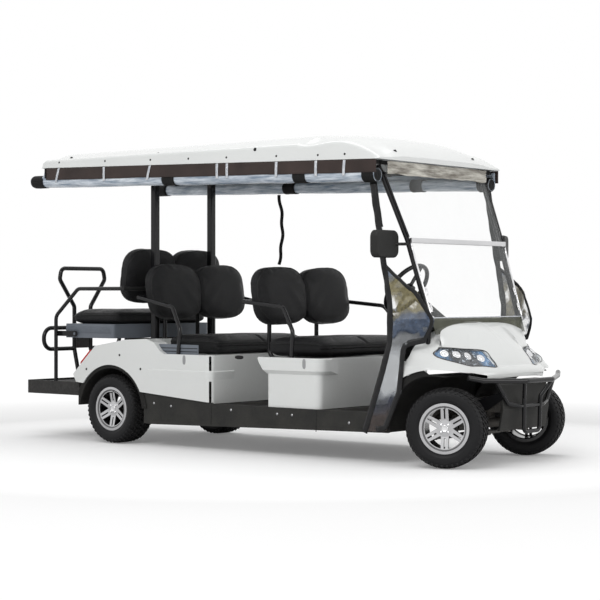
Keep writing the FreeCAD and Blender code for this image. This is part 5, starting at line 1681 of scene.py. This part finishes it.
    def sleeves(self) -> list[Piece]:
        """The rear end's sleeve, gathered to its middle, and the front end's, bunched into rings.

        Returns:
            Both sleeves.
        """
        bunched = [(0.087 - 0.0028 * step, 1.075 + 0.05 * math.sin(step * 1.30)) for step in range(30)]
        closing = ((0.002, 0.98), (-0.0012, 0.72), (-0.0022, 0.30), (-0.0026, 0.02))
        return [self.sleeve("end", self.rear[0], 1, self.gathered),
                self.sleeve("front", self.front[0], -1, [(0.090, 1.03), *bunched, *closing])]

    def valance(self) -> Piece:
        """The dark band that hangs from the rim in front of the roll.

        Returns:
            The valance.
        """
        grid = []
        for row in range(181):
            x = self.valance_rear + self.valance_size[0] * row / 180
            top = self.rim(x)
            low = self.centre(x).z + 0.012
            line = []
            for step in range(9):
                share = step / 8
                wave = soft_noise(x * 7.0, share * 1.6, 2.0 + self.side) * 0.0016 * math.sin(share * math.pi)
                line.append((x, self.side * (self.valance_reach + wave), top + (low - top) * share))
            grid.append(line)
        return self.piece(f"Valance_{self.label}", grid, 0.0009, BROWN_BAND)

    def stay(self, index: int, top: float, foot: float) -> Piece:
        """A clear strip from the rim to the roll, over the valance.

        Args:
            index: Its number.
            top: The setback of its top.
            foot: The setback of its foot.

        Returns:
            The strip.
        """
        grid = []
        for step in range(15):
            share = step / 14
            x = at_setback(top + (foot - top) * share)
            high = self.rim(x) - 0.002
            low = self.centre(x).z - 0.004
            bulge = 0.0016 * math.sin(share * math.pi) + soft_noise(share * 5.0, index * 3.0) * 0.0006
            grid.append([(x - 0.010 * across, self.side * (self.stay_reach + bulge + 0.0005 * (1 - across * across)),
                          high + (low - high) * share) for across in (-1.0, -0.5, 0.0, 0.5, 1.0)])
        return self.piece(f"Valance_stay_{self.label}_{index}", grid, 0.0008, STAY_FILM)

    def tie(self) -> Piece:
        """The block that holds the rear end to the rim.

        Returns:
            The block.
        """
        near, far = sorted((self.side * 0.638, self.side * 0.6498))
        block = bevelled_box((-1.614, near, 1.786), (-1.600, far, 1.852), 0.0015)
        return put(f"Rear_tie_{self.label}", block, BAND_BLACK)

    @staticmethod
    def loose_strap() -> Piece:
        """The far side's strap end, hanging in waves behind the second bench.

        Returns:
            The strap.
        """
        path = [(at_setback(2.190 - 0.030 * math.sin(share * math.pi) + 0.006 * math.sin(share * 19.0)), 0.602,
                 1.690 - 0.490 * share) for share in (step / 40 for step in range(41))]
        return put("Loose_strap", tube_mesh(path, 0.0115, flat=0.22), BAND_BLACK)

    def build(self) -> None:
        """Build the rolled curtain and its valance."""
        film = self.roll()
        bands = [self.strap(index, *ends) for index, ends in enumerate(self.strap_setbacks)]
        bands += [*self.sleeves(), self.tie()]
        if self.side > 0:
            bands.append(self.loose_strap())
        valance = self.valance()
        stays = [self.stay(index, *ends) for index, ends in enumerate(self.stay_setbacks)]


@dataclass
class QuarterCurtain:
    """The clear curtain beside a windshield strut: film with black hems, hung from the roof to the sill."""

    label: str
    side: int
    top: float = 1.6438
    reach: float = 0.6045
    bend_at: float = 0.215
    bend: float = 0.5419
    hem_off: float = 0.0016
    flat_size: tuple[float, float] = (0.483, 1.454)
    slack: float = 1.03
    rear_edge: tuple[Point, ...] = ((0.476, 1.6438), (0.398, 1.190), (0.350, 0.930), (0.352, 0.716), (0.384, 0.606),
                                    (0.534, 0.190))
    front_edge: tuple[Point, ...] = ((0.430, 0.190), (0.356, 0.200), (0.250, 0.424), (0.222, 0.640), (0.215, 0.690),
                                     (0.120, 0.712), (0.080, 0.800), (0.072, 0.846), (0.160, 1.010), (0.382, 1.185),
                                     (0.382, 1.385), (0.425, 1.6438))

    def at(self, setback: float, height: float, off: float = 0.0) -> Vector:
        """A point of the hanging film, with its creases, moved outwards by off.

        Args:
            setback: How far back it is.
            height: How high it is.
            off: How far outwards it is moved.

        Returns:
            The point.
        """
        inward = max(0.0, self.bend_at - setback) * self.bend
        calm = 0.30 if height < 0.55 else 1.0
        held = min(1.0, max(0.0, (self.top - height) / 0.12))
        crease = soft_noise(setback * 24.0 + height * 7.0, height * 4.0, 3.0 * self.side) * 0.0085
        fine = soft_noise(setback * 60.0 - height * 16.0, height * 22.0, 7.0 * self.side) * 0.0022
        fold = (crease + fine) * calm * held
        return Vector((at_setback(setback), self.side * (self.reach - inward + fold + off), height))

    def film(self) -> tuple[Piece, float]:
        """The film, cut to its outline and creased, and its area laid flat.

        Returns:
            The film and its flat area.
        """
        work = bmesh.new()
        work.faces.new([work.verts.new((setback, 0.0, height))
                        for setback, height in (*self.rear_edge, *self.front_edge)])
        cuts = [((0.06 + 0.012 * step, 0, 0), (1, 0, 0)) for step in range(41)]
        cuts += [((0, 0, 0.18 + 0.014 * step), (0, 0, 1)) for step in range(106)]
        for spot, way in cuts:
            bmesh.ops.bisect_plane(work, geom=work.verts[:] + work.edges[:] + work.faces[:], plane_co=spot,
                                   plane_no=way, dist=1e-6)
        bmesh.ops.triangulate(work, faces=[face for face in work.faces if len(face.verts) > 4])
        area = sum(face.calc_area() for face in work.faces)
        for vert in work.verts:
            vert.co = self.at(vert.co.x, vert.co.z)
        piece = put(f"Quarter_film_{self.label}", thickened(mesh_of(work), 0.0008), CURTAIN_FILM)
        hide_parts(f"quarter_curtain_{self.label}")
        return piece, area

    def hem(self, name: str, edge: Sequence[Point], width: float) -> Piece:
        """A black hem along one edge, on both faces of the film.

        Args:
            name: Its name.
            edge: Points along the edge.
            width: Its width.

        Returns:
            The hem.
        """
        path: list[Vector] = []
        for a, b in zip(map(Vector, edge), map(Vector, edge[1:])):
            count = max(1, int((b - a).length / 0.02))
            path += [a.lerp(b, step / count) for step in range(count)]
        path.append(Vector(edge[-1]))
        smooth = [path[0], *[(path[i - 1] + path[i] * 2 + path[i + 1]) / 4 for i in range(1, len(path) - 1)], path[-1]]
        rows = []
        for index, spot in enumerate(smooth):
            way = (smooth[min(index + 1, len(smooth) - 1)] - smooth[max(index - 1, 0)]).normalized()
            inner = -Vector((-way.y, way.x))
            lanes = [spot + inner * width * share for share in (0.0, 0.33, 0.66, 1.0)]
            rows.append([self.at(lane.x, min(lane.y, self.top), off)
                         for off, order in ((self.hem_off, lanes), (-self.hem_off, lanes[::-1])) for lane in order])
        count = len(rows[0])
        verts = [point for row in rows for point in row]
        ends = [tuple(range(count)), tuple(range(len(verts) - count, len(verts)))]
        mesh = mesh_from(verts, [*ends, *grid_faces(len(rows), count)])
        return put(f"Hem_{name}_{self.label}", mesh, HEM_BLACK)

    def build(self) -> None:
        film, area = self.film()
        hems = [self.hem("rear", self.rear_edge, 0.040), self.hem("front_low", self.front_edge[:6], 0.034),
                self.hem("front_mid", self.front_edge[5:10], 0.020), self.hem("front_top", self.front_edge[10:], 0.012)]


# ---- fixings and trim
def merged_copy(item: Piece) -> Work:
    """A node's loose triangles as one welded mesh.

    Args:
        item: The node.

    Returns:
        The copy.
    """
    work = bmesh.new()
    work.from_mesh(item.data)
    bmesh.ops.remove_doubles(work, verts=work.verts, dist=1e-5)
    return work


@dataclass
class Fixings:
    """Screws, knobs, seams, painted shade of the rails' foot slots and the shoulders' inserts, the same on both sides.
    """

    frame: dict
    roof_screws: tuple[Point, ...] = ((3.095, 1.888), (2.647, 1.876), (2.226, 1.862), (1.889, 1.853), (1.564, 1.844),
                                      (1.156, 1.832), (0.832, 1.821), (0.629, 1.817))
    roof_knobs: tuple[Point, ...] = ((3.119, 1.930), (2.224, 1.908), (1.33, 1.882), (0.436, 1.840))
    body_screws: tuple[Point, ...] = ((2.362, 0.503), (2.557, 0.590), (2.873, 0.489))
    sill_screws: tuple[Point, ...] = ((2.252, 0.284), (2.099, 0.271), (1.580, 0.268), (1.202, 0.260), (1.083, 0.259),
                                      (0.645, 0.232))
    sill_seams: tuple[float, float] = (1.749, 0.895)
    sill_faces: tuple[float, float] = (0.5855, 0.5874)
    catch_place: Point = (1.5, 0.599, 0.6)
    rail_feet: tuple[tuple[str, Point], ...] = (("rear_body", (1.970, 0.572)), ("front_seat_pod", (0.977, 0.572)))
    insert_reach: float = 0.5640
    rib_heights: tuple[float, float] = (0.624, 0.645)
    insert_outline: tuple[Point, ...] = ((2.252, 0.604), (2.250, 0.655), (2.215, 0.670), (1.876, 0.668),
                                         (1.876, 0.604))

    def spots(self, node: str, places: Sequence[Point]) -> list[Spot]:
        """Where screws at given setbacks and heights meet a node's two sides.

        Args:
            node: The node.
            places: Setbacks and heights.

        Returns:
            The places found.
        """
        tree = node_tree(self.frame, node)
        hits = [strike(tree, (at_setback(setback), side * 1.2, height), (0, -side, 0))
                for side, _ in SIDES for setback, height in places]
        return [(hit[0], facing(hit[1])) for hit in hits if hit]

    def screws(self) -> None:
        """Every row of screws."""
        small, knob = screw_head(0.0046, 0.0030), screw_head(0.0075, 0.0070)
        for name, shape, node, places, finish, slot, size in (
            ("Roof_screws", small, "roof_shell", self.roof_screws, SCREW_BLACK, "white_body", 1.0),
            ("Roof_knobs", knob, "roof_shell", self.roof_knobs, SCREW_BLACK, "white_body", 1.0),
            ("Body_screws", small, "rear_body", self.body_screws, SCREW_BLACK, "white_body", 1.15),
            ("Sill_screws", small, "side_skirts", self.sill_screws, SCREW_STEEL, "black_plastic", 1.15),
        ):
            REPEATER.make(name, shape, self.spots(node, places), finish, "chassis", size)

    def seams(self) -> None:
        """The joints between the sill's lengths, as raised lips, and the catch over the second step."""
        for index, setback in enumerate(self.sill_seams):
            x = at_setback(setback)
            strips = []
            for side, _ in SIDES:
                near, far = sorted(side * face for face in self.sill_faces)
                strips.append(bevelled_box((x - 0.0022, near, 0.166), (x + 0.0022, far, 0.298), 0.0006, 1))
            put(f"Sill_seam_{index}", merged(strips), SCREW_BLACK)
        catches = []
        setback, reach, height = self.catch_place
        for side, _ in SIDES:
            catches.append(super_form((0.008, 0.034, 0.012), (0.7, 0.7), 24))
            catches[-1].transform(Matrix.Translation((at_setback(setback), side * reach, height))
                                  @ Matrix.Rotation(math.pi / 2, 4, "Z"))
        put("Body_catches", merged(catches), SCREW_BLACK)

    def slot_shades(self) -> None:
        """Thin grey round-ended pieces under the arm rails' feet: painted shade of the slots there."""
        shape = super_form((0.0025, 0.0130, 0.030), (0.75, 0.6), 32)
        shape.transform(Matrix(((0, 1, 0, 0), (0, 0, 1, 0), (1, 0, 0, 0), (0, 0, 0, 1))))
        places = [spot for node, foot in self.rail_feet for spot in self.spots(node, [foot])]
        REPEATER.make("Rail_foot_cups", shape, places, SLOT_SHADE_GREY, "chassis")

    def inserts(self) -> None:
        """The grey ribbed inserts beside the second bench, on the body's shoulder."""
        plates, ribs = [], []
        for side, _ in SIDES:
            points = [(at_setback(setback), side * self.insert_reach, height)
                      for setback, height in self.insert_outline]
            plates.append(extruded(points, (0, side * 0.0045, 0), 0.0012))
            for height in self.rib_heights:
                path = [(at_setback(2.243 - 0.361 * step / 12), side * (self.insert_reach + 0.0048), height)
                        for step in range(13)]
                ribs.append(tube_mesh(path, 0.0022, 8))
        put("Shoulder_inserts", merged(plates), DECK_GREY, smooth=False)
        put("Shoulder_ribs", merged(ribs), SCREW_BLACK)

    def build(self) -> None:
        """Build all of them."""
        self.screws()
        self.seams()
        self.slot_shades()
        self.inserts()


@dataclass
class Windshield:
    """The windshield's bright edges, its bead, latches and the loose film under the visor."""

    knots: tuple[Point, ...] = ((0.856, 0.145, 0.483), (1.309, 0.286, 0.499), (1.749, 0.462, 0.542))
    latch_heights: tuple[float, float] = (0.913, 1.011)
    latch_lean: float = -17.3
    visor_corner: Point = (1.2225, -0.535, 1.773)
    visor_size: tuple[float, float] = (1.045, 0.083)

    def edge(self, side: float, height: float, ahead: float = 0.0225, out: float = 0.001) -> Vector:
        """A point on the pane's edge at a height, ahead of the strut's centre line.

        Args:
            side: 1 for left, -1 for right.
            height: The height.
            ahead: How far ahead of the strut.
            out: How far outwards.

        Returns:
            The point.
        """
        low, high = self.knots[:2] if height < self.knots[1][0] else self.knots[1:]
        share = (height - low[0]) / (high[0] - low[0])
        setback = low[1] + share * (high[1] - low[1])
        reach = low[2] + share * (high[2] - low[2])
        return Vector((at_setback(setback) + ahead, side * (reach + out), height))

    def strips(self) -> None:
        """Chrome edge strips on the lower pane, dark seals on the upper one, and the bead above the film."""
        for side, label in SIDES:
            low = [self.edge(side, 0.838 + 0.447 * step / 12) for step in range(13)]
            put(f"Pane_edge_{label}", tube_mesh(low, 0.0062), CHROME)
            high = [self.edge(side, 1.326 + 0.385 * step / 12) for step in range(13)]
            put(f"Pane_seal_{label}", tube_mesh(high, 0.0058), TUBE_BLACK)
        left, right = (self.edge(side, self.knots[0][0]) for side, _ in SIDES)
        bead = [left * (1 - step / 16) + right * (step / 16) for step in range(17)]
        put("Pane_bead", tube_mesh(bead, 0.0036, 8), STAY_FILM)

    def latches(self) -> None:
        """Two small over-centre latches on each strut."""
        blocks = []
        for side, _ in SIDES:
            for height in self.latch_heights:
                place = Matrix.Translation(self.edge(side, height, 0.027, -0.014))
                blocks.append(bevelled_box((-0.004, -0.008, -0.024), (0.004, 0.008, 0.024), 0.002))
                blocks.append(bevelled_box((0.003, -0.005, -0.014), (0.009, 0.005, 0.020), 0.002))
                for mesh in blocks[-2:]:
                    mesh.transform(place @ Matrix.Rotation(math.radians(self.latch_lean), 4, "Y"))
        put("Pane_latches", merged(blocks), CHROME)

    def visor_film(self) -> None:
        """The loose cream film folded under the roof's front edge."""
        x, start, top = self.visor_corner
        grid = []
        for row in range(91):
            y = start + self.visor_size[0] * row / 90
            line = []
            for step in range(15):
                share = step / 14
                wave = soft_noise(y * 5.0, share * 9.0, 4.0) * 0.0065 + soft_noise(y * 15.0, share * 24.0) * 0.002
                ragged = soft_noise(y * 8.0, 11.0) * 0.008 * share
                line.append((x + wave, y, top - (0.076 + ragged) * share))
            grid.append(line)
        piece = put("Visor_film", solid_sheet(grid, 0.0008), CREAM_FILM)

    def build(self) -> None:
        """Build all of it."""
        self.strips()
        self.latches()
        self.visor_film()


@dataclass
class Bonnet:
    """The full, wide crown of the bonnet, laid over the CAD cowl between the windshield and the lamps."""

    frame: dict
    foremost: tuple[Point, ...] = ((0.0, 1.765), (0.12, 1.760), (0.16, 1.735), (0.19, 1.705), (0.23, 1.668),
                                   (0.28, 1.632), (0.33, 1.628), (0.38, 1.610), (0.43, 1.573), (0.46, 1.552),
                                   (0.52, 1.536))
    half_width: float = 0.478
    columns: int = 190
    rows: int = 44
    beside_middle: float = 0.0004
    back: tuple[float, float] = (1.534, 0.762)
    back_slope: float = 0.32

    def front(self, reach: float) -> float:
        """How far forward the crown runs there, short of the lamps.

        Args:
            reach: The distance from the middle.

        Returns:
            The foremost X there.
        """
        for (low, first), (high, second) in zip(self.foremost, self.foremost[1:]):
            if reach <= high:
                return first + (second - first) * ((reach - low) / (high - low))
        return self.foremost[-1][1]

    @staticmethod
    def fall(reach: float) -> float:
        """How far the crown has dropped at a distance from the middle."""
        return 1.15 * reach ** 4 + 30.0 * max(0.0, reach - 0.425) ** 2

    def column(self, tree: BVHTree, y: float) -> list[Vector]:
        """One line of the crown from its back wall to its front, or nothing where it misses the cowl.

        Args:
            tree: The cowl's surface.
            y: The place across the cart.

        Returns:
            The line's points, or none off the cowl.
        """
        def height(x: float, y: float) -> float | None:
            """The cowl's height there."""
            spot = tree.ray_cast(Vector((x, y, 1.2)), DOWN)[0]
            return spot and spot.z

        reach = abs(y)
        tops = [self.front(abs(reach + shift)) for shift in (-0.02, -0.01, 0.0, 0.01, 0.02)]
        end = sum(tops) / len(tops)
        start = self.back[0] - (height(1.515, self.beside_middle) - self.fall(reach) - self.back[1]) * self.back_slope
        line: list[Vector] = []
        for row in range(self.rows + 1):
            share = row / self.rows
            x = start + (end - start) * share
            under, crest = height(x, y), height(x, self.beside_middle)
            if under is None or crest is None:
                return []
            hold = 1.0 - share * share * (3.0 - 2.0 * share)
            lift = max(0.0, crest - self.fall(reach) - under) * hold
            line.append(Vector((x, y, under + (lift + 0.0008 if lift > 0.0004 else -0.0018))))
        foot = height(start, y) - 0.003
        wall = [Vector((start, y, line[0].z + (foot - line[0].z) * share)) for share in (1.0, 0.66, 0.33)]
        return wall + line

    def build(self) -> None:
        """Build the crown."""
        tree = node_tree(self.frame, "front_cowl")
        lines = [self.column(tree, -self.half_width + 2 * self.half_width * (step + 0.5) / self.columns)
                 for step in range(self.columns)]
        crown = solid_sheet([line for line in lines if line], 0.0010)
        put("Bonnet_crown", crown, WHITE_SHELL)


@dataclass
class Headlamps:
    """What shows through the two lenses: dark bowls, bright reflectors and a thin bezel."""

    frame: dict
    bowl_scale: float = 0.985
    bowl_shift: Point = (-0.013, 0.0, -0.003)
    outline: tuple[Point, ...] = ((0.214, 0.664), (0.340, 0.6755), (0.458, 0.685), (0.484, 0.676), (0.522, 0.650),
                                  (0.506, 0.621), (0.400, 0.585), (0.300, 0.578), (0.203, 0.573), (0.203, 0.620))
    reflector_places: tuple[Point, ...] = ((0.262, 0.620), (0.335, 0.634), (0.410, 0.644), (0.470, 0.650))
    dish: tuple[Point, ...] = ((-0.001, 0.0), (-0.001, 0.0285), (0.0050, 0.0285), (0.0062, 0.0262),
                               (0.0030, 0.0180), (0.0018, 0.0090), (0.0046, 0.0060), (0.0058, 0.0))

    @staticmethod
    def from_ahead(tree: BVHTree, y: float, z: float) -> Hit | None:
        """Where a ray from ahead meets a surface."""
        return strike(tree, (2.4, y, z), (-1, 0, 0))

    def bowl(self, side: int, label: str) -> Piece:
        """A dark copy of the lens, set back behind it.

        Args:
            side: 1 for left, -1 for right.
            label: The side's name.

        Returns:
            The bowl.
        """
        work = merged_copy(self.frame["nodes"]["headlights"])
        gone = [vert for vert in work.verts if vert.co.y * side < 0]
        bmesh.ops.delete(work, geom=gone, context="VERTS")
        middle = sum((vert.co for vert in work.verts), Vector()) / len(work.verts)
        for vert in work.verts:
            vert.co = middle + (vert.co - middle) * self.bowl_scale + Vector(self.bowl_shift)
        return put(f"Lamp_bowl_{label}", mesh_of(work), LAMP_INSIDE, smooth=False)

    def reflectors(self, bowl: Piece, side: int, label: str) -> None:
        """Round reflectors on the bowl.

        Args:
            bowl: The lamp's bowl.
            side: 1 for left, -1 for right.
            label: The side's name.
        """
        tree = surface_tree(bowl)
        hits = [self.from_ahead(tree, side * reach, height) for reach, height in self.reflector_places]
        places = [(hit[0] - hit[1] * 0.001, facing(hit[1])) for hit in hits if hit]
        REPEATER.make(f"Lamp_reflectors_{label}", turned_up(self.dish, 28), places, CHROME, "chassis",
                      0.92)

    def bezel(self, side: int, label: str) -> None:
        """The dark line round the lens, laid on the cowl.

        Args:
            side: 1 for left, -1 for right.
            label: The side's name.
        """
        tree = node_tree(self.frame, "front_cowl", "headlights")
        loop = smooth_loop([(0.0, y, z) for y, z in self.outline], 6)
        path = [hit[0] for hit in (self.from_ahead(tree, side * spot.y, spot.z) for spot in loop) if hit]
        put(f"Lamp_bezel_{label}", tube_mesh(path, 0.0036, 8, closed=True), LAMP_BLACK)

    def build(self) -> None:
        """Build both lamps."""
        for side, label in SIDES:
            self.reflectors(self.bowl(side, label), side, label)
            self.bezel(side, label)


@dataclass
class Cabin:
    """Ribs on the deck and mats, pads on the pedals, switches on the dash and glass in the mirrors."""

    frame: dict
    deck_rib_from: float = -1.585
    deck_rib_pitch: float = 0.0125
    mat_rib_pitch: float = 0.028
    switch_places: tuple[float, ...] = (0.06, 0.02, -0.02, -0.06)
    gauge_place: float = -0.20
    gauge: tuple[Point, ...] = ((-0.002, 0.0), (-0.002, 0.044), (0.007, 0.044), (0.009, 0.040), (0.004, 0.036),
                                (0.004, 0.0))

    def deck_ribs(self) -> None:
        """Upright ribs along the deck's sides."""
        tree = node_tree(self.frame, "flip_deck")
        rib = bevelled_box((-0.0030, -0.022, -0.0012), (0.0030, 0.022, 0.0022), 0.001, 1)
        places = []
        for side, _ in SIDES:
            for step in range(36):
                hit = strike(tree, (self.deck_rib_from + self.deck_rib_pitch * step, side * 0.9, 0.748), (0, -side, 0))
                if hit and abs(hit[1].y) > 0.9 and abs(hit[0].y) > 0.45:
                    places.append((hit[0], facing((0, side, 0))))
        REPEATER.make("Deck_ribs", rib, places, DECK_GREY, "flip_seat")

    def mat_ribs(self) -> None:
        """Long ribs on the two footwells' floors."""
        tree = node_tree(self.frame, "floor_pan")
        rib = bevelled_box((-0.125, -0.004, -0.001), (0.125, 0.004, 0.003), 0.0015, 1)
        hits = [strike(tree, (x, self.mat_rib_pitch * (step - 18), 0.6), DOWN)
                for x in (0.985, 0.085) for step in range(37)]
        places = [(hit[0], Quaternion()) for hit in hits if hit and hit[0].z < 0.32]
        REPEATER.make("Mat_ribs", rib, places, FLOOR_MAT, "chassis")

    def on_face(self, node: str, starts: Iterable[Point]) -> list[Spot]:
        """Where rays that run forward from their starts meet a node.

        Args:
            node: The node.
            starts: Where the rays start.

        Returns:
            The places found.
        """
        tree = node_tree(self.frame, node)
        hits = [strike(tree, start, (1, 0, 0)) for start in starts]
        return [(hit[0], facing(hit[1])) for hit in hits if hit]

    def controls(self) -> None:
        """Rubber bars on the pedals, and plain rocker switches and a round gauge on the dash."""
        bar = bevelled_box((-0.026, -0.003, -0.001), (0.026, 0.003, 0.003), 0.001, 1)
        bars = [(1.0, y, low + 0.0125 * step) for y, low in ((0.205, 0.388), (0.320, 0.408)) for step in range(7)]
        rocker = bevelled_box((-0.011, -0.018, -0.002), (0.011, 0.018, 0.006), 0.003)
        rockers = [(0.9, y, 0.73) for y in self.switch_places]
        for name, shape, node, starts, finish in (
            ("Pedal_bars", bar, "pedals", bars, FLOOR_MAT),
            ("Dash_switches", rocker, "dashboard", rockers, SCREW_BLACK),
            ("Dash_gauge", turned_up(self.gauge, 40), "dashboard", [(0.9, self.gauge_place, 0.73)], LAMP_BLACK),
        ):
            REPEATER.make(name, shape, self.on_face(node, starts), finish, "chassis")

    def mirror_glass(self) -> None:
        """Glass on the rear face of each mirror's head."""
        work = merged_copy(self.frame["nodes"]["mirrors"])
        sheets = []
        for side, _ in SIDES:
            faces = [face for face in work.faces if face.normal.x < -0.75
                     and face.calc_center_median().y * side > 0.54 and face.calc_area() > 1e-4]
            corners = {vert.index: vert.co.copy() for face in faces for vert in face.verts}
            middle = sum(corners.values(), Vector()) / len(corners)
            out = sum((face.normal for face in faces), Vector()).normalized()
            order = {index: place for place, index in enumerate(corners)}
            mesh = bpy.data.meshes.new("Glass")
            mesh.from_pydata([middle + (spot - middle) * 0.90 + out * 0.0012 for spot in corners.values()], [],
                             [[order[vert.index] for vert in face.verts] for face in faces])
            sheets.append(thickened(mesh, 0.0008))
        work.free()
        put("Mirror_glass", merged(sheets), MIRROR_GLASS, smooth=False)

    def build(self) -> None:
        """Build all of it."""
        self.deck_ribs()
        self.mat_ribs()
        self.controls()
        self.mirror_glass()


# ---- studio
@dataclass
class Studio:
    """Camera, floor and plain soft light."""

    eye: Point = (7.1445, -8.522, 0.994)
    heading: float = 39.5
    lens: float = 102.0
    shift_up: float = -0.010
    floor_reach: float = 60.0
    white_from: float = 2.6
    white_by: float = 5.5
    floor_lift: float = 0.16
    world_light: float = 0.52

    def camera(self) -> None:
        """The level long-lens camera off the cart's front right corner."""
        data = bpy.data.cameras.new("Camera")
        data.lens = self.lens
        data.sensor_width = 36.0
        data.shift_y = self.shift_up
        data.clip_end = 200.0
        item = shown("Camera", data)
        item.location = self.eye
        item.rotation_euler = (math.radians(90), 0, math.radians(self.heading))
        bpy.context.scene.camera = item

    def floor(self) -> None:
        """A wide pale floor that turns to plain white away from the cart."""
        far = self.floor_reach
        mesh = bpy.data.meshes.new("Floor")
        mesh.from_pydata([(x, y, -0.0006) for x, y in ((-far, -far), (far, -far), (far, far), (-far, far))], [],
                         [(0, 1, 2, 3)])
        material = bpy.data.materials.new("Floor_paint")
        material.use_nodes = True
        build = Tree(material.node_tree)
        build.shader.inputs["Specular IOR Level"].default_value = 0.1
        build.shader.inputs["Emission Color"].default_value = (1.0, 1.0, 1.0, 1.0)
        where = build.place()
        tint = build.ramp(build.noise(where, 0.6), 0.3, 0.7, 0.90, 0.915)
        eye = build.node("LightPath").outputs["Is Camera Ray"]
        seen = build.times(build.ramp(build.vector("LENGTH", where), self.white_from, self.white_by), eye)
        grey = build.times(tint, build.maths("SUBTRACT", 1.0, seen))
        build.wire(colour=build.chain("CombineColor", grey, grey, grey), rough=0.9)
        build.feed(build.larger(seen, build.times(eye, self.floor_lift)), build.shader.inputs["Emission Strength"])
        mesh.materials.append(material)
        shown("Floor", mesh)

    def world(self) -> None:
        """White to the eye, in gloss and through glass, and softer as a light."""
        world = bpy.data.worlds.new("Studio")
        bpy.context.scene.world = world
        world.use_nodes = True
        build = Tree(world.node_tree)
        background = world.node_tree.nodes["Background"]
        rays = build.node("LightPath").outputs
        seen = build.larger(rays["Is Camera Ray"], rays["Is Transmission Ray"])
        seen = build.larger(seen, rays["Is Glossy Ray"])
        build.feed(build.ramp(seen, 0.0, 1.0, self.world_light, 1.0), background.inputs["Strength"])
        background.inputs["Color"].default_value = (1.0, 1.0, 1.0, 1.0)

    def lamp(self, name: str, place: Point, aim: Point, size: tuple[float, float], power: float) -> None:
        """One rectangular soft lamp that looks at a point.

        Args:
            name: Its name.
            place: Where it stands.
            aim: The point it looks at.
            size: Its two sides.
            power: Its power in watts.
        """
        data = bpy.data.lights.new(name, "AREA")
        data.shape = "RECTANGLE"
        data.size, data.size_y = size
        data.energy = power
        item = shown(name, data)
        item.location = place
        item.rotation_euler = (Vector(aim) - Vector(place)).to_track_quat("-Z", "Y").to_euler()

    def build(self) -> None:
        """Build the studio."""
        self.camera()
        self.floor()
        self.world()
        self.lamp("Key", (2.5, -6.5, 6.0), (0, 0, 0.8), (5.0, 3.0), 235.0)
        self.lamp("Top", (-1.0, 1.0, 7.0), (0, 0, 0.8), (6.0, 5.0), 150.0)
        self.lamp("Front", (7.5, 1.0, 2.8), (0.5, 0, 0.8), (3.0, 2.5), 85.0)
        bpy.context.scene.view_settings.view_transform = "Standard"


# label, centre, side and yaw of each wheel
WHEELS = (
    ("front_left", (1.53543, 0.48955, 0.23), 1, 23.0),
    ("front_right", (1.61357, -0.48955, 0.23), -1, 23.0),
    ("rear_left", (-1.0275, 0.4975, 0.23), 1, 0.0),
    ("rear_right", (-1.0275, -0.4975, 0.23), -1, 0.0),
)
# label, cushion's body, backrest's lean and front edge's way of each bench
BENCHES = (("front", "front_bench", -8.0, 1), ("second", "second_bench", -8.0, 1), ("rear", "flip_seat", 8.0, -1))


def main() -> None:
    """Load the frame, build every sub-assembly in order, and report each."""
    logging.basicConfig(level=logging.INFO, format="%(name)s %(message)s")
    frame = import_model()
    Studio().build()
    dress(frame, NODE_FINISHES)
    parts = [Wheel(frame, *sizes) for sizes in WHEELS] + [Bench(*sizes) for sizes in BENCHES]
    parts += [kind(label, side) for side, label in SIDES for kind in (RolledCurtain, QuarterCurtain)]
    parts += [Windshield(), Bonnet(frame), Headlamps(frame), Fixings(frame), Cabin(frame)]
    for part in parts:
        part.build()
        LOG.info("%s built", type(part).__name__)


if __name__ == "__main__":
    main()
